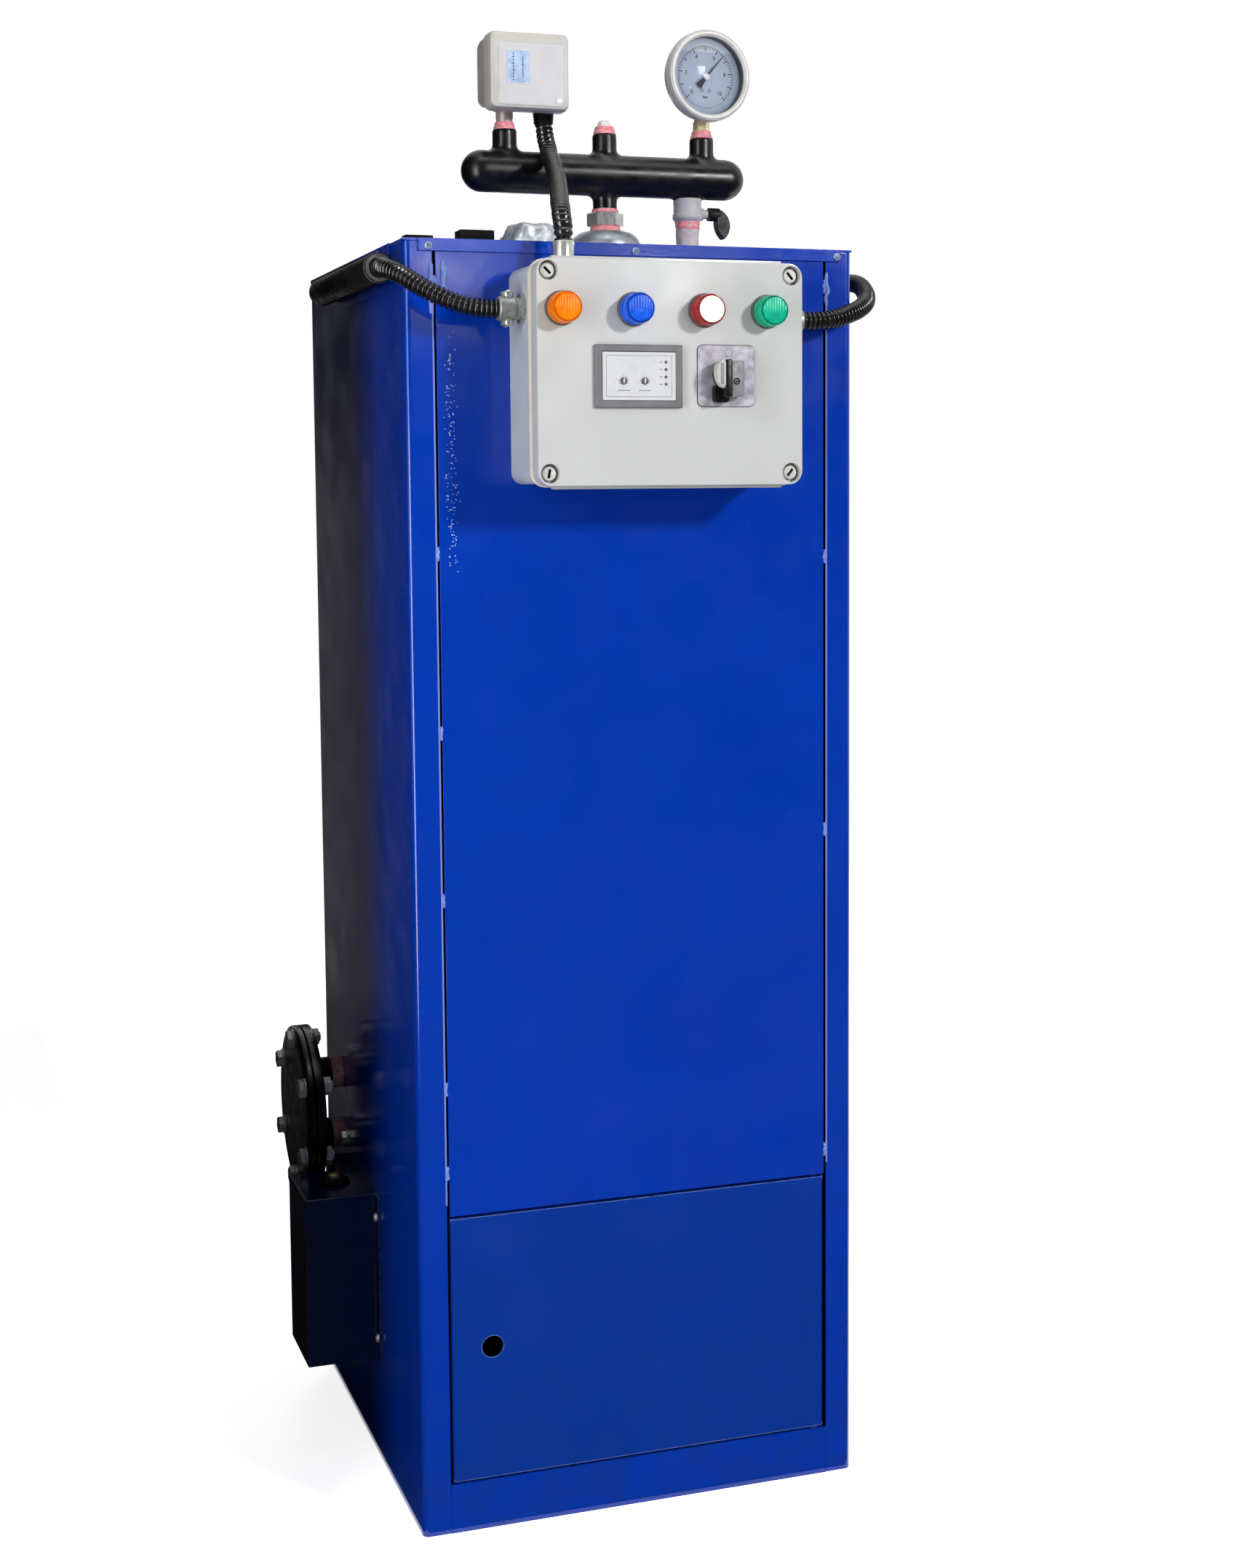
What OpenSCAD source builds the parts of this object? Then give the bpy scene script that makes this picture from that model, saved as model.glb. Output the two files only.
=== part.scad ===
// Vertical steam boiler in a sheet steel cabinet
// Millimetres. X runs across the front, Y to the back and Z up. The origin is the middle of the base.

/* [Cabinet] */
// Width of the cabinet over its side panels
cabinet_w = 420; // [400:5:480]
// Depth of the cabinet over its front and back
cabinet_d = 420; // [400:5:480]
// Height of the cabinet to the top of its roof
cabinet_h = 1155; // [1120:5:1300]
// Thickness of the cabinet's sheet steel
sheet_t = 2; // [1:0.5:3]
// Outer radius of the bent corners
corner_r = 6; // [4:1:10]
// Width of the side panels' returns round the corners
return_w = 26; // [20:1:34]
// Slot between the returns and the front panel
seam_gap = 2.5; // [1.5:0.5:4]
// Thickness of the base plate
base_t = 3; // [2:0.5:6]
// Height of the rail under the door
rail_h = 45; // [35:1:60]

/* [Roof] */
// Height of the roof's turned-down edge
flange_h = 11; // [8:1:14]
// Distance of the turned-down edges' ends from the cabinet's corners
flange_inset = 13; // [10:1:20]
// Distance of the left edge's front end from the cabinet's front
flange_left_inset = 47; // [13:1:60]

/* [Door] */
// Height of the access door
door_h = 243; // [200:1:260]
// Gap over and under the door
door_gap = 2.5; // [2:0.5:4]
// Depth of the door's bent edges
door_hem = 13; // [10:1:16]
// Outer radius of the door's bent edges
door_bend_r = 4; // [3:0.5:5]
// Diameter of the finger hole
finger_d = 20; // [16:1:24]
// Distance of the finger hole from the door's free edge
finger_inset = 38; // [28:1:60]
// Diameter of the hinge pins
hinge_pin_d = 6; // [5:0.5:8]
// Distance of the hinge pins from the door's edge and face
hinge_inset = 8; // [7:0.5:10]
// Depth of the lips that hold the hinge pins
lip_d = 20; // [16:1:26]

/* [Boiler drum] */
// Outer diameter of the drum
drum_d = 340; // [300:5:350]
// Wall of the drum
drum_wall = 5; // [4:0.5:8]
// Thickness of the drum's heads
head_t = 8; // [6:1:12]
// Height of the drum's bottom over the floor
drum_bottom_z = 330; // [320:5:380]
// Room between the drum and the roof
drum_head_room = 55; // [40:5:100]
// Side of the drum's square legs
leg_w = 25; // [20:1:30]
// Distance of the legs from the drum's middle, each way
leg_offset = 105; // [95:1:108]
// Diameter of the steam outlet's neck
neck_d = 48; // [34:1:50]
// Side of the burner's tray
burner_w = 150; // [120:5:160]
// Height of the burner's tray
burner_h = 30; // [20:1:40]
// Diameter of the burner's bars
burner_bar_d = 24; // [16:1:28]

/* [Steam header] */
// Outer diameter of the header pipe
header_d = 40; // [34:1:46]
// Length of the header over its round ends
header_l = 289; // [270:1:310]
// Height of the header's axis over the roof
header_rise = 90; // [84:1:110]
// Distance of the header's middle to the right of the cabinet's middle
header_x = 42; // [30:1:50]
// Diameter of the header's branches
branch_d = 24; // [20:1:28]
// Distance between the branches
branch_pitch = 101; // [95:1:105]
// Height of the branches' tops over the header's axis
branch_rise = 39; // [34:1:44]
// Length of the lower leg under the header's axis
leg_drop = 37; // [34:1:42]
// Diameter of the domed socket under the lower leg
dome_d = 70; // [62:1:80]
// Size across the flats of the hexagon nipple
nipple_af = 31; // [28:1:34]
// Height of the hexagon nipple
nipple_h = 13; // [10:1:15]
// Thickness of a wrap of thread tape
tape_t = 1.5; // [1:0.25:2.5]
// Width of a wrap of thread tape
tape_w = 6; // [4:0.5:7]

/* [Pressure switch] */
// Width of the pressure switch
switch_w = 80; // [75:1:90]
// Height of the pressure switch
switch_h = 72; // [60:1:75]
// Depth of the pressure switch
switch_d = 60; // [52:1:70]
// Depth of the pressure switch's cover
switch_cover_d = 20; // [15:1:24]
// Diameter of the switch's nipple
switch_nipple_d = 17; // [14:1:19]
// Length of the switch's nipple
switch_nipple_l = 14; // [12:1:22]

/* [Gauge] */
// Diameter over the gauge's rim
gauge_d = 88; // [80:1:100]
// Depth of the gauge's case
gauge_depth = 32; // [28:1:40]
// Depth of the case's full width behind the rim's front
gauge_shoulder = 18; // [16:1:22]
// Turn of the gauge on its stem
gauge_turn = 6; // [-20:1:20]
// Length of the gauge's stem under its case
gauge_stem_l = 16; // [12:1:24]
// Size across the flats of the gauge's stem
gauge_stem_af = 14; // [12:1:17]

/* [Ball valve] */
// Diameter of the valve's body
valve_d = 28; // [26:1:34]
// Height of the valve's body
valve_h = 21; // [18:1:24]
// Distance of the valve to the left of the right branch
valve_offset = 15; // [10:1:20]
// Diameter of the pipe under the valve
tail_d = 22; // [18:1:24]
// Diameter of the lever's pin
lever_pin_d = 5; // [4:0.5:6]
// Length of the lever from its pin to its tip
lever_l = 24; // [20:1:32]
// Distance that the lever's grip stands out
lever_reach = 21; // [18:1:26]
// Width of the lever
lever_w = 12; // [9:1:13]

/* [Control box] */
// Width of the control box
box_w = 240; // [220:1:260]
// Height of the control box
box_h = 190; // [170:1:210]
// Depth of the box behind its lid
box_body_d = 65; // [60:1:80]
// Depth of the lid
lid_d = 25; // [20:1:30]
// Distance of the lid's top from the roof's top
box_drop = 23; // [20:1:40]
// Corner radius of the lid
lid_r = 12; // [8:1:14]
// Step of the body inside the lid's outline
lid_step = 2; // [1:0.5:4]
// Distance of the corner screws from the lid's edges
screw_inset = 10.5; // [10:0.5:14]
// Diameter of the corner screws
screw_d = 15; // [12:0.5:15.5]

/* [Controls] */
// Diameter of the signal lamps
lamp_d = 29; // [24:1:32]
// Distance that the lamps stand out of the lid
lamp_proud = 20; // [16:1:24]
// Width of the level relay's frame
relay_w = 78; // [70:1:82]
// Height of the level relay's frame
relay_h = 53; // [46:1:56]
// Side of the rotary switch's plate
plate_w = 52; // [46:1:54]
// Diameter of the rotary switch's knob
knob_d = 27; // [24:1:29]

/* [Conduits] */
// Diameter of the corrugated conduits
conduit_d = 17; // [15:0.5:18]
// Length of the glands on the control box
gland_l = 22; // [18:1:26]
// Diameter of the smooth sleeve along the left side panel
sleeve_d = 26; // [24:1:27]
// Length of the smooth sleeve
sleeve_l = 255; // [200:1:320]

/* [Level chamber] */
// Diameter of the chamber's flanges
chamber_d = 165; // [150:1:175]
// Thickness of each flange
chamber_t = 9; // [7:0.5:12]
// Diameter of the bolt circle
chamber_pcd = 142; // [128:1:145]
// Number of bolts
chamber_bolts_n = 6; // [6:2:8]
// Diameter of the bolts
chamber_bolt_d = 10; // [8:1:11]
// Diameter of the chamber's sockets
socket_d = 33; // [30:1:36]
// Length of the chamber's sockets
socket_l = 19; // [16:1:26]
// Distance between the two sockets
socket_pitch = 64; // [58:1:70]
// Diameter of the pipes in the sockets
chamber_pipe_d = 26; // [22:1:27]
// Height of the chamber's middle over the floor
chamber_z = 310; // [306:1:330]
// Distance of the chamber's middle from the cabinet's back
chamber_back = 80; // [76:1:90]

/* [Pump box] */
// Distance that the pump box stands out of the side panel
pump_out = 69; // [62:1:75]
// Height of the pump box
pump_h = 165; // [140:1:170]
// Height of the pump box's underside over the floor
pump_z = 98; // [80:1:100]
// Length of the pump box's deep front part
pump_l = 87; // [75:1:90]
// Distance of the pump box's front face from the cabinet's back
pump_back = 241; // [236:1:260]
// Length of the pump box's shallow rear part
pump_rear_l = 52; // [40:1:54]
// Depth of the pump box's shallow rear part
pump_rear_out = 22; // [18:1:24]
// Width of the pump box's front fixing edge
pump_edge_w = 16; // [12:1:20]

/* [Hidden] */
$fn = 48;
// Overrun of cuts past the faces that they open
over = 1;
// Clearance of a pin in its hole
pin_gap = 0.05;
// Clearance between round faces that are fixed together
round_gap = 0.1;
// Clearance of a bolt in its hole
bolt_gap = 0.5;

// Cabinet places
front_y = -cabinet_d / 2;
back_y = cabinet_d / 2;
side_x = cabinet_w / 2;
roof_z = cabinet_h - sheet_t;
panel_half = side_x - return_w - seam_gap;
// Heights of the welded bridges over the seams, as shares of the front panel's height
left_bridge_shares = [0.04, 0.13, 0.33, 0.505, 0.69, 0.965];
right_bridge_shares = [0.02, 0.38, 0.68, 0.97];
bridge_h = 13;

// Door places
door_z = rail_h + door_gap;
door_top = door_z + door_h;
panel_z = door_top + door_gap;
hinge_x = panel_half - hinge_inset;
hinge_y = front_y + hinge_inset;
hinge_stick = 3;
washer_d = 11;
washer_gap = 0.1;

// Drum places
drum_top_z = roof_z - drum_head_room;
outlet_gap = 2;
burner_bar_pitch = burner_w / 5;
burner_bar_sink_share = 0.2;

// Header places
header_z = cabinet_h + header_rise;
branch_z = header_z + branch_rise;
branch_x = [header_x - branch_pitch, header_x, header_x + branch_pitch];
weld_h = 9;
weld_grow = 8;
nipple_z = header_z - leg_drop - nipple_h;
nipple_neck_l = 5;
dome_z = nipple_z - nipple_neck_l;
dome_top_d = nipple_af + tape_t;
dome_shoulder_share = 0.55;
plug_d = 16;
plug_h = 13;
plug_round_share = 0.45;
wrap_d = 70;
wrap_h = 40;
wrap_round = 14;
wrap_x = header_x - (dome_d + wrap_d) / 2 - outlet_gap;
wrap_y = 5;

// Pressure switch places, with its left riser a share of the width from its left side
switch_riser_share = 0.303;
switch_x = branch_x[0] + switch_w * (0.5 - switch_riser_share);
switch_z = branch_z + switch_nipple_l;
switch_front_y = -36;
switch_r = 6;
switch_step = 1;
switch_lift = 7;
switch_case_z = switch_z + switch_lift;
switch_case_y = switch_front_y + switch_cover_d;
window_w_share = 0.28;
window_h_share = 0.45;
window_x_share = -0.18;
window_z_share = 0.05;
window_t = 1.5;
switch_gland_d = 20;
switch_gland_l = 5;
switch_gland_x_share = 0.29;
switch_gland_inset = 16;

// Gauge places
gauge_wall = 4;
gauge_lip = 2;
gauge_z = branch_z + gauge_stem_l + gauge_d / 2 - gauge_lip;
gauge_front_y = -22;
gauge_glass_t = 2.5;
gauge_bezel_t = 2.5;
gauge_bezel_l = 12;
gauge_cup_d = 9;
gauge_shoulder_step = 4;
gauge_back_share = 0.6;
gauge_boss_share = 0.3;
dial_t = 1.5;
pointer_t = 1;
pointer_w = 3;
pointer_hub_d = 7;
pointer_hub_h = 3;
pointer_angle = -40;
pointer_tip_share = 0.37;
pointer_tail_share = 0.14;

// Ball valve places
valve_x = branch_x[2] - valve_offset;
boss_gap = 1;
valve_top_z = header_z - header_d / 2 - boss_gap;
valve_z = valve_top_z - valve_h;
lever_z_share = 0.33;
lever_z = valve_z + valve_h * lever_z_share;
stem_d = 9;
stem_l = 8;
lever_gap = 0.3;
lever_hub_d = 13;
lever_hub_l = 11;
lever_cap_t = 3;
lever_cap_d = 9;
// The grip's two arcs: middle and radii in shares of the lever's reach and length, then their end angles
grip_outer_shares = [0.19, -0.469, 0.81, 0.711];
grip_inner_shares = [1.38, -0.322, 1.01, 0.887];
grip_outer_ends = [64, -48];
grip_inner_ends = [230, 146];
grip_steps = 10;

// Control box places
box_x = 2;
box_z = cabinet_h - box_drop - box_h / 2;
lid_back_y = front_y - box_body_d;
lid_y = lid_back_y - lid_d;
lid_rim = 3;
recess_gap = 1.5;
recess_d = screw_d + 2 * recess_gap;
recess_h = 9;
screw_h = 6;
screw_slot_w = 2.5;
screw_slot_d = 2.5;

// Controls, placed as shares of the lid's width and height from its middle
lamp_x_shares = [-0.411, -0.146, 0.119, 0.359];
lamp_z_share = 0.28;
relay_x_share = -0.13;
relay_z_share = -0.015;
plate_x_share = 0.202;
plate_z_share = -0.01;
collar_share = 0.4;
lens_edge = 1.5;
lens_round = 3;
relay_t = 4;
relay_r = 2;
relay_rim = 6;
relay_inset = 1;
plate_t = 3;
plate_r = 3;
block_w = 9;
block_h = 42;
block_t = 5;
block_shift = 18;
knob_shift = -5;
knob_base_t = 8;
handle_w = 10;
handle_l = 38;
handle_t = 13;
knob_pin_d = 6;
knob_gap = 0.3;

// Glands, placed as shares of the box's width and height from its middle
left_gland_z_share = 0.295;
right_gland_z_share = 0.263;
top_gland_x_share = -0.329;
gland_depth = 40;
top_gland_depth = 35;
gland_d = 21;
gland_nut_af = 25;
gland_nut_t = 5;
top_gland_d = 18;
top_gland_l = 22;
body_w = box_w - 2 * lid_step;
body_h = box_h - 2 * lid_step;

// Sleeve along the left side panel
sleeve_off = 14;
sleeve_drop = 23;
sleeve_inset = 30;
sleeve_pocket = 8;
sleeve_pocket_gap = 0.8;
sleeve_stub_d = 18;
sleeve_x = -side_x - sleeve_off;
sleeve_y = front_y + sleeve_inset;
sleeve_z = cabinet_h - sleeve_drop;
sleeve_end = sleeve_y + sleeve_l;

// Boss on the right side panel
boss_stand = 9;
boss_inset = 94;
boss_drop = 25;

// Routes of the corrugated conduits, from the control box or the pressure switch to the far end
conduit_sides = 10;
left_points = [
    [-138, -250, 1093], [-148, -250, 1093], [-160, -250, 1094], [-172, -248, 1097], [-184, -244, 1102],
    [-195, -238, 1108], [-205, -230, 1115], [-213, -220, 1122], [-219, -209, 1127], [-223, -197, 1130],
    [-224, -188, 1132], [-224, -180, 1132], [-224, -172, 1132]];
right_points = [
    [142, -250, 1087], [153, -250, 1087], [167, -249, 1088], [181, -245, 1091], [194, -239, 1095],
    [206, -230, 1099], [217, -219, 1104], [226, -206, 1109], [233, -192, 1115], [238, -177, 1121],
    [241, -162, 1127], [241, -148, 1131], [238, -136, 1132], [233, -127, 1131], [226, -120, 1130],
    [219, -116, 1130]];
switch_points = [
    [-20, 0, 1300], [-20, 0, 1292], [-20, -4, 1283], [-21, -11, 1274], [-22, -21, 1265],
    [-25, -35, 1256], [-28, -52, 1248], [-32, -72, 1239], [-37, -93, 1230], [-42, -115, 1222], [-48, -137, 1213],
    [-54, -159, 1204], [-60, -180, 1196], [-66, -200, 1189], [-70, -216, 1183], [-74, -230, 1176],
    [-76, -240, 1168], [-77, -245, 1160], [-77, -245, 1152]];

// Level chamber places
chamber_y = back_y - chamber_back;
socket_stand = 12;
chamber_x = -side_x - socket_stand - socket_l;
bolt_af_share = 1.6;
bolt_head_share = 0.7;
bolt_nut_share = 0.8;
bolt_af = bolt_af_share * chamber_bolt_d;
bolt_head_t = bolt_head_share * chamber_bolt_d;
bolt_nut_t = bolt_nut_share * chamber_bolt_d;
bolt_turn = 30;
bolt_end = 2;
pipe_gap = 0.1;
pipe_in = 15;
pipe_nut_grow = 12;
pipe_nut_d = chamber_pipe_d + pipe_nut_grow;
pipe_nut_t = 5;
tape_ring_step = 2;
tape_ring_d = socket_d - tape_ring_step;
panel_hole_gap = 1;
side_bolt_af = 12;
side_bolt_t = 7;
side_bolt_rise = 3;

// Pump box places
pump_y = back_y - pump_back;
pump_x = -side_x - pump_out;
pump_top = pump_z + pump_h;
grommet_d = 32;
grommet_hole_d = 18;
grommet_h = 6;
grommet_y_share = 0.56;
grommet_x_share = 0.54;
fitting_d = 12;
fitting_h = 8;

// Shared shapes

module rod_x(d, x0, x1, y, z) {
    translate([x0, y, z]) rotate([0, 90, 0]) cylinder(d = d, h = x1 - x0);
}

module rod_y(d, y0, y1, x, z) {
    translate([x, y0, z]) rotate([-90, 0, 0]) cylinder(d = d, h = y1 - y0);
}

module rod_z(d, z0, z1, x, y) {
    translate([x, y, z0]) cylinder(d = d, h = z1 - z0);
}

// Hexagon bars, by the size across their flats
module hex_z(af, z0, z1, x, y) {
    translate([x, y, z0]) cylinder(d = af / cos(30), h = z1 - z0, $fn = 6);
}

module hex_x(af, x0, x1, y, z) {
    translate([x0, y, z]) rotate([0, 90, 0]) cylinder(d = af / cos(30), h = x1 - x0, $fn = 6);
}

module ring_z(d_out, d_in, z0, z1, x, y) {
    difference() {
        rod_z(d_out, z0, z1, x, y);
        rod_z(d_in, z0 - over, z1 + over, x, y);
    }
}

module rounded_rect(w, h, r) {
    square([w - 2 * r, h], center = true);
    square([w, h - 2 * r], center = true);
    for (sx = [-1, 1], sz = [-1, 1])
        translate([sx * (w / 2 - r), sz * (h / 2 - r)]) circle(r);
}

// A rounded plate that faces the front, between two depths
module face_plate(w, h, r, y0, y1, x, z) {
    translate([x, y1, z]) rotate([90, 0, 0]) linear_extrude(y1 - y0) rounded_rect(w, h, r);
}

// A quarter of a bend in sheet, in the corner where both of its sides are lowest
module bend(r, t) {
    intersection() {
        difference() {
            translate([r, r]) circle(r);
            translate([r, r]) circle(r - t);
        }
        square(r);
    }
}

// A route whose ends follow the pieces that hold them, with its end stretches kept straight
function along(i, last) = min(max((i - 1) / (last - 2), 0), 1);
function tied(points, start, end) =
    let (last = len(points) - 1, near = start - points[0], far = end - points[last])
    [for (i = [0 : last]) points[i] + near * (1 - along(i, last)) + far * along(i, last)];

// A tube swept along a route, with its ends square to the route
function unit(v) = v / norm(v);
function heading(route, i) = unit(route[min(i + 1, len(route) - 1)] - route[max(i - 1, 0)]);
function hoop(route, i, r, sides, ref) =
    let (t = heading(route, i), a = unit(cross(t, ref)), b = cross(t, a))
    [for (k = [0 : sides - 1]) route[i] + r * (cos(360 * k / sides) * a + sin(360 * k / sides) * b)];

module tube(route, d, sides, ref) {
    last = len(route) - 1;
    hoops = [for (i = [0 : last]) each hoop(route, i, d / 2, sides, ref)];
    walls = [for (i = [0 : last - 1], k = [0 : sides - 1])
        let (n = (k + 1) % sides)
        [i * sides + k, i * sides + n, (i + 1) * sides + n, (i + 1) * sides + k]];
    start_face = [for (k = [0 : sides - 1]) sides - 1 - k];
    end_face = [for (k = [0 : sides - 1]) last * sides + k];
    polyhedron(points = hoops, faces = concat(walls, [start_face, end_face]));
}

// Cabinet

module base_plate() {
    color("dimgray")
        translate([0, -sheet_t / 2, 0])
            linear_extrude(base_t)
                rounded_rect(cabinet_w - 2 * sheet_t, cabinet_d - 3 * sheet_t, corner_r);
}

module side_profile() {
    translate([-side_x, front_y + corner_r]) square([sheet_t, cabinet_d - 2 * corner_r]);
    translate([-side_x, front_y]) bend(corner_r, sheet_t);
    mirror([0, 1]) translate([-side_x, front_y]) bend(corner_r, sheet_t);
    for (y = [front_y, back_y - sheet_t])
        translate([-side_x + corner_r, y]) square([return_w - corner_r, sheet_t]);
}

module left_panel() {
    color("mediumblue")
        difference() {
            linear_extrude(roof_z) side_profile();
            for (s = [-1, 1])
                rod_x(chamber_pipe_d + 2 * panel_hole_gap, -side_x - over, -side_x + sheet_t + over,
                    chamber_y, chamber_z + s * socket_pitch / 2);
        }
}

module right_panel() {
    color("mediumblue") mirror([1, 0, 0]) linear_extrude(roof_z) side_profile();
}

module back_panel() {
    color("mediumblue")
        translate([-side_x + corner_r, back_y - 2 * sheet_t, 0])
            cube([cabinet_w - 2 * corner_r, sheet_t, roof_z]);
}

module front_panel() {
    panel_h = roof_z - panel_z;
    color("mediumblue")
        difference() {
            union() {
                translate([-panel_half, front_y, panel_z]) cube([2 * panel_half, sheet_t, panel_h]);
                translate([-panel_half, front_y, panel_z]) cube([2 * panel_half, lip_d, sheet_t]);
                for (share = left_bridge_shares)
                    translate([-panel_half - seam_gap, front_y, panel_z + share * (panel_h - bridge_h)])
                        cube([seam_gap, sheet_t, bridge_h]);
                for (share = right_bridge_shares)
                    translate([panel_half, front_y, panel_z + share * (panel_h - bridge_h)])
                        cube([seam_gap, sheet_t, bridge_h]);
            }
            rod_z(hinge_pin_d + 2 * pin_gap, panel_z - over, panel_z + sheet_t + over, hinge_x, hinge_y);
        }
}

module front_rail() {
    color("mediumblue")
        difference() {
            union() {
                translate([-side_x + return_w, front_y, 0])
                    cube([cabinet_w - 2 * return_w, sheet_t, rail_h]);
                translate([-panel_half, front_y, rail_h - sheet_t])
                    cube([2 * panel_half, lip_d, sheet_t]);
            }
            rod_z(hinge_pin_d + 2 * pin_gap, rail_h - sheet_t - over, rail_h + over, hinge_x, hinge_y);
        }
}

module door_profile() {
    translate([-panel_half + door_bend_r, front_y]) square([2 * (panel_half - door_bend_r), sheet_t]);
    for (m = [0, 1])
        mirror([m, 0]) {
            translate([-panel_half, front_y]) bend(door_bend_r, sheet_t);
            translate([-panel_half, front_y + door_bend_r]) square([sheet_t, door_hem - door_bend_r]);
        }
}

module access_door() {
    color("royalblue")
        difference() {
            union() {
                translate([0, 0, door_z]) linear_extrude(door_h) door_profile();
                for (z = [door_z, door_top - sheet_t])
                    translate([-panel_half + sheet_t / 2, front_y + sheet_t / 2, z])
                        cube([2 * panel_half - sheet_t, door_hem - sheet_t / 2, sheet_t]);
                rod_z(hinge_pin_d, door_top - sheet_t, panel_z + sheet_t + hinge_stick, hinge_x, hinge_y);
                rod_z(hinge_pin_d, rail_h - sheet_t - hinge_stick, door_z + sheet_t, hinge_x, hinge_y);
                rod_z(washer_d, rail_h + washer_gap, door_z + sheet_t, hinge_x, hinge_y);
            }
            rod_y(finger_d, front_y - over, front_y + sheet_t + over,
                -panel_half + finger_inset, door_z + door_h / 2);
        }
}

module roof() {
    edge_l = cabinet_w - 2 * flange_inset;
    edge_w = cabinet_d - 2 * flange_inset;
    color("mediumblue")
        difference() {
            union() {
                translate([-side_x, front_y, roof_z]) cube([cabinet_w, cabinet_d, sheet_t]);
                for (y = [front_y - sheet_t, back_y])
                    translate([-edge_l / 2, y, cabinet_h - flange_h]) cube([edge_l, sheet_t, flange_h]);
                translate([side_x, -edge_w / 2, cabinet_h - flange_h]) cube([sheet_t, edge_w, flange_h]);
                translate([-side_x - sheet_t, front_y + flange_left_inset, cabinet_h - flange_h])
                    cube([sheet_t, cabinet_d - flange_left_inset - flange_inset, flange_h]);
            }
            rod_z(neck_d + 2 * outlet_gap, roof_z - over, cabinet_h + over, header_x, 0);
        }
}

// Boiler drum

module drum_shell() {
    color("dimgray") ring_z(drum_d, drum_d - 2 * drum_wall, drum_bottom_z + head_t, drum_top_z - head_t, 0, 0);
}

module drum_top_head() {
    color("dimgray")
        difference() {
            union() {
                rod_z(drum_d, drum_top_z - head_t, drum_top_z, 0, 0);
                rod_z(neck_d, drum_top_z - head_t, cabinet_h, header_x, 0);
            }
            rod_z(neck_d - 2 * drum_wall, drum_top_z - head_t - over, cabinet_h + over, header_x, 0);
        }
}

module drum_bottom_head() {
    color("dimgray") rod_z(drum_d, drum_bottom_z, drum_bottom_z + head_t, 0, 0);
}

module drum_legs() {
    color("dimgray")
        for (sx = [-1, 1], sy = [-1, 1])
            translate([sx * leg_offset - leg_w / 2, sy * leg_offset - leg_w / 2, base_t])
                cube([leg_w, leg_w, drum_bottom_z - base_t]);
}

module burner() {
    bar_z = base_t + burner_h + burner_bar_d * (0.5 - burner_bar_sink_share);
    color("gray") {
        translate([-burner_w / 2, -burner_w / 2, base_t]) cube([burner_w, burner_w, burner_h]);
        for (i = [-2 : 2])
            rod_y(burner_bar_d, -burner_w / 2, burner_w / 2, i * burner_bar_pitch, bar_z);
    }
}

// Steam header and its fittings

module steam_dome() {
    shoulder_z = cabinet_h + dome_shoulder_share * (dome_z - cabinet_h);
    rise = dome_z - shoulder_z;
    run = (dome_d - dome_top_d) / 2;
    steps = 8;
    shoulder = [for (i = [0 : steps])
        [dome_top_d / 2 + run * cos(90 * i / steps), shoulder_z + rise * sin(90 * i / steps)]];
    color("silver")
        translate([header_x, 0, 0])
            rotate_extrude()
                polygon(concat([[0, cabinet_h], [dome_d / 2, cabinet_h]], shoulder, [[0, dome_z]]));
}

module hexagon_nipple() {
    color("silver") {
        rod_z(branch_d, dome_z, nipple_z, header_x, 0);
        hex_z(nipple_af, nipple_z, nipple_z + nipple_h, header_x, 0);
    }
}

// A branch of the header with its weld, upward or downward from the header's axis
module branch(x, z_end) {
    up = sign(z_end - header_z);
    weld_z = sqrt(pow(header_d / 2, 2) - pow(branch_d / 2, 2));
    translate([x, 0, header_z])
        mirror([0, 0, up > 0 ? 0 : 1]) {
            cylinder(d = branch_d, h = abs(z_end - header_z));
            translate([0, 0, weld_z]) cylinder(d1 = branch_d + weld_grow, d2 = branch_d, h = weld_h);
        }
}

module steam_header() {
    left_end = header_x - header_l / 2 + header_d / 2;
    right_end = header_x + header_l / 2 - header_d / 2;
    color("black") {
        rod_x(header_d, left_end, right_end, 0, header_z);
        for (x = [left_end, right_end])
            translate([x, 0, header_z]) sphere(d = header_d);
        for (x = branch_x)
            branch(x, branch_z);
        branch(header_x, header_z - leg_drop);
        rod_z(branch_d, valve_top_z, header_z, valve_x, 0);
    }
}

// A wrap of tape round a thread
module tape_wrap(d, z0, x) {
    ring_z(d + 2 * tape_t, d + 2 * round_gap, z0, z0 + tape_w, x, 0);
}

module thread_tape() {
    color("palevioletred") {
        tape_wrap(switch_nipple_d, branch_z, branch_x[0]);
        tape_wrap(plug_d, branch_z, branch_x[1]);
        tape_wrap(gauge_stem_af / cos(30), branch_z, branch_x[2]);
        tape_wrap(branch_d, nipple_z + nipple_h, header_x);
        ring_z(branch_d + 2 * tape_t, branch_d + 2 * round_gap, dome_z, nipple_z, header_x, 0);
        tape_wrap(tail_d, valve_z - tape_w, valve_x);
    }
}

module insulation_wrap() {
    color("lightgray")
        translate([wrap_x, wrap_y, cabinet_h]) {
            rotate_extrude() {
                square([wrap_d / 2, wrap_h - wrap_round]);
                square([wrap_d / 2 - wrap_round, wrap_h]);
                translate([wrap_d / 2 - wrap_round, wrap_h - wrap_round])
                    intersection() {
                        circle(wrap_round);
                        square(wrap_round);
                    }
            }
        }
}

module header_plug() {
    round_h = plug_d * plug_round_share;
    color("silver")
        translate([branch_x[1], 0, branch_z]) {
            cylinder(d = plug_d, h = plug_h - round_h);
            translate([0, 0, plug_h - round_h]) cylinder(d1 = plug_d, d2 = plug_d / 2, h = round_h);
        }
}

// Pressure switch

module switch_nipple() {
    color("silver") rod_z(switch_nipple_d, branch_z, switch_case_z, branch_x[0], 0);
}

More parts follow.
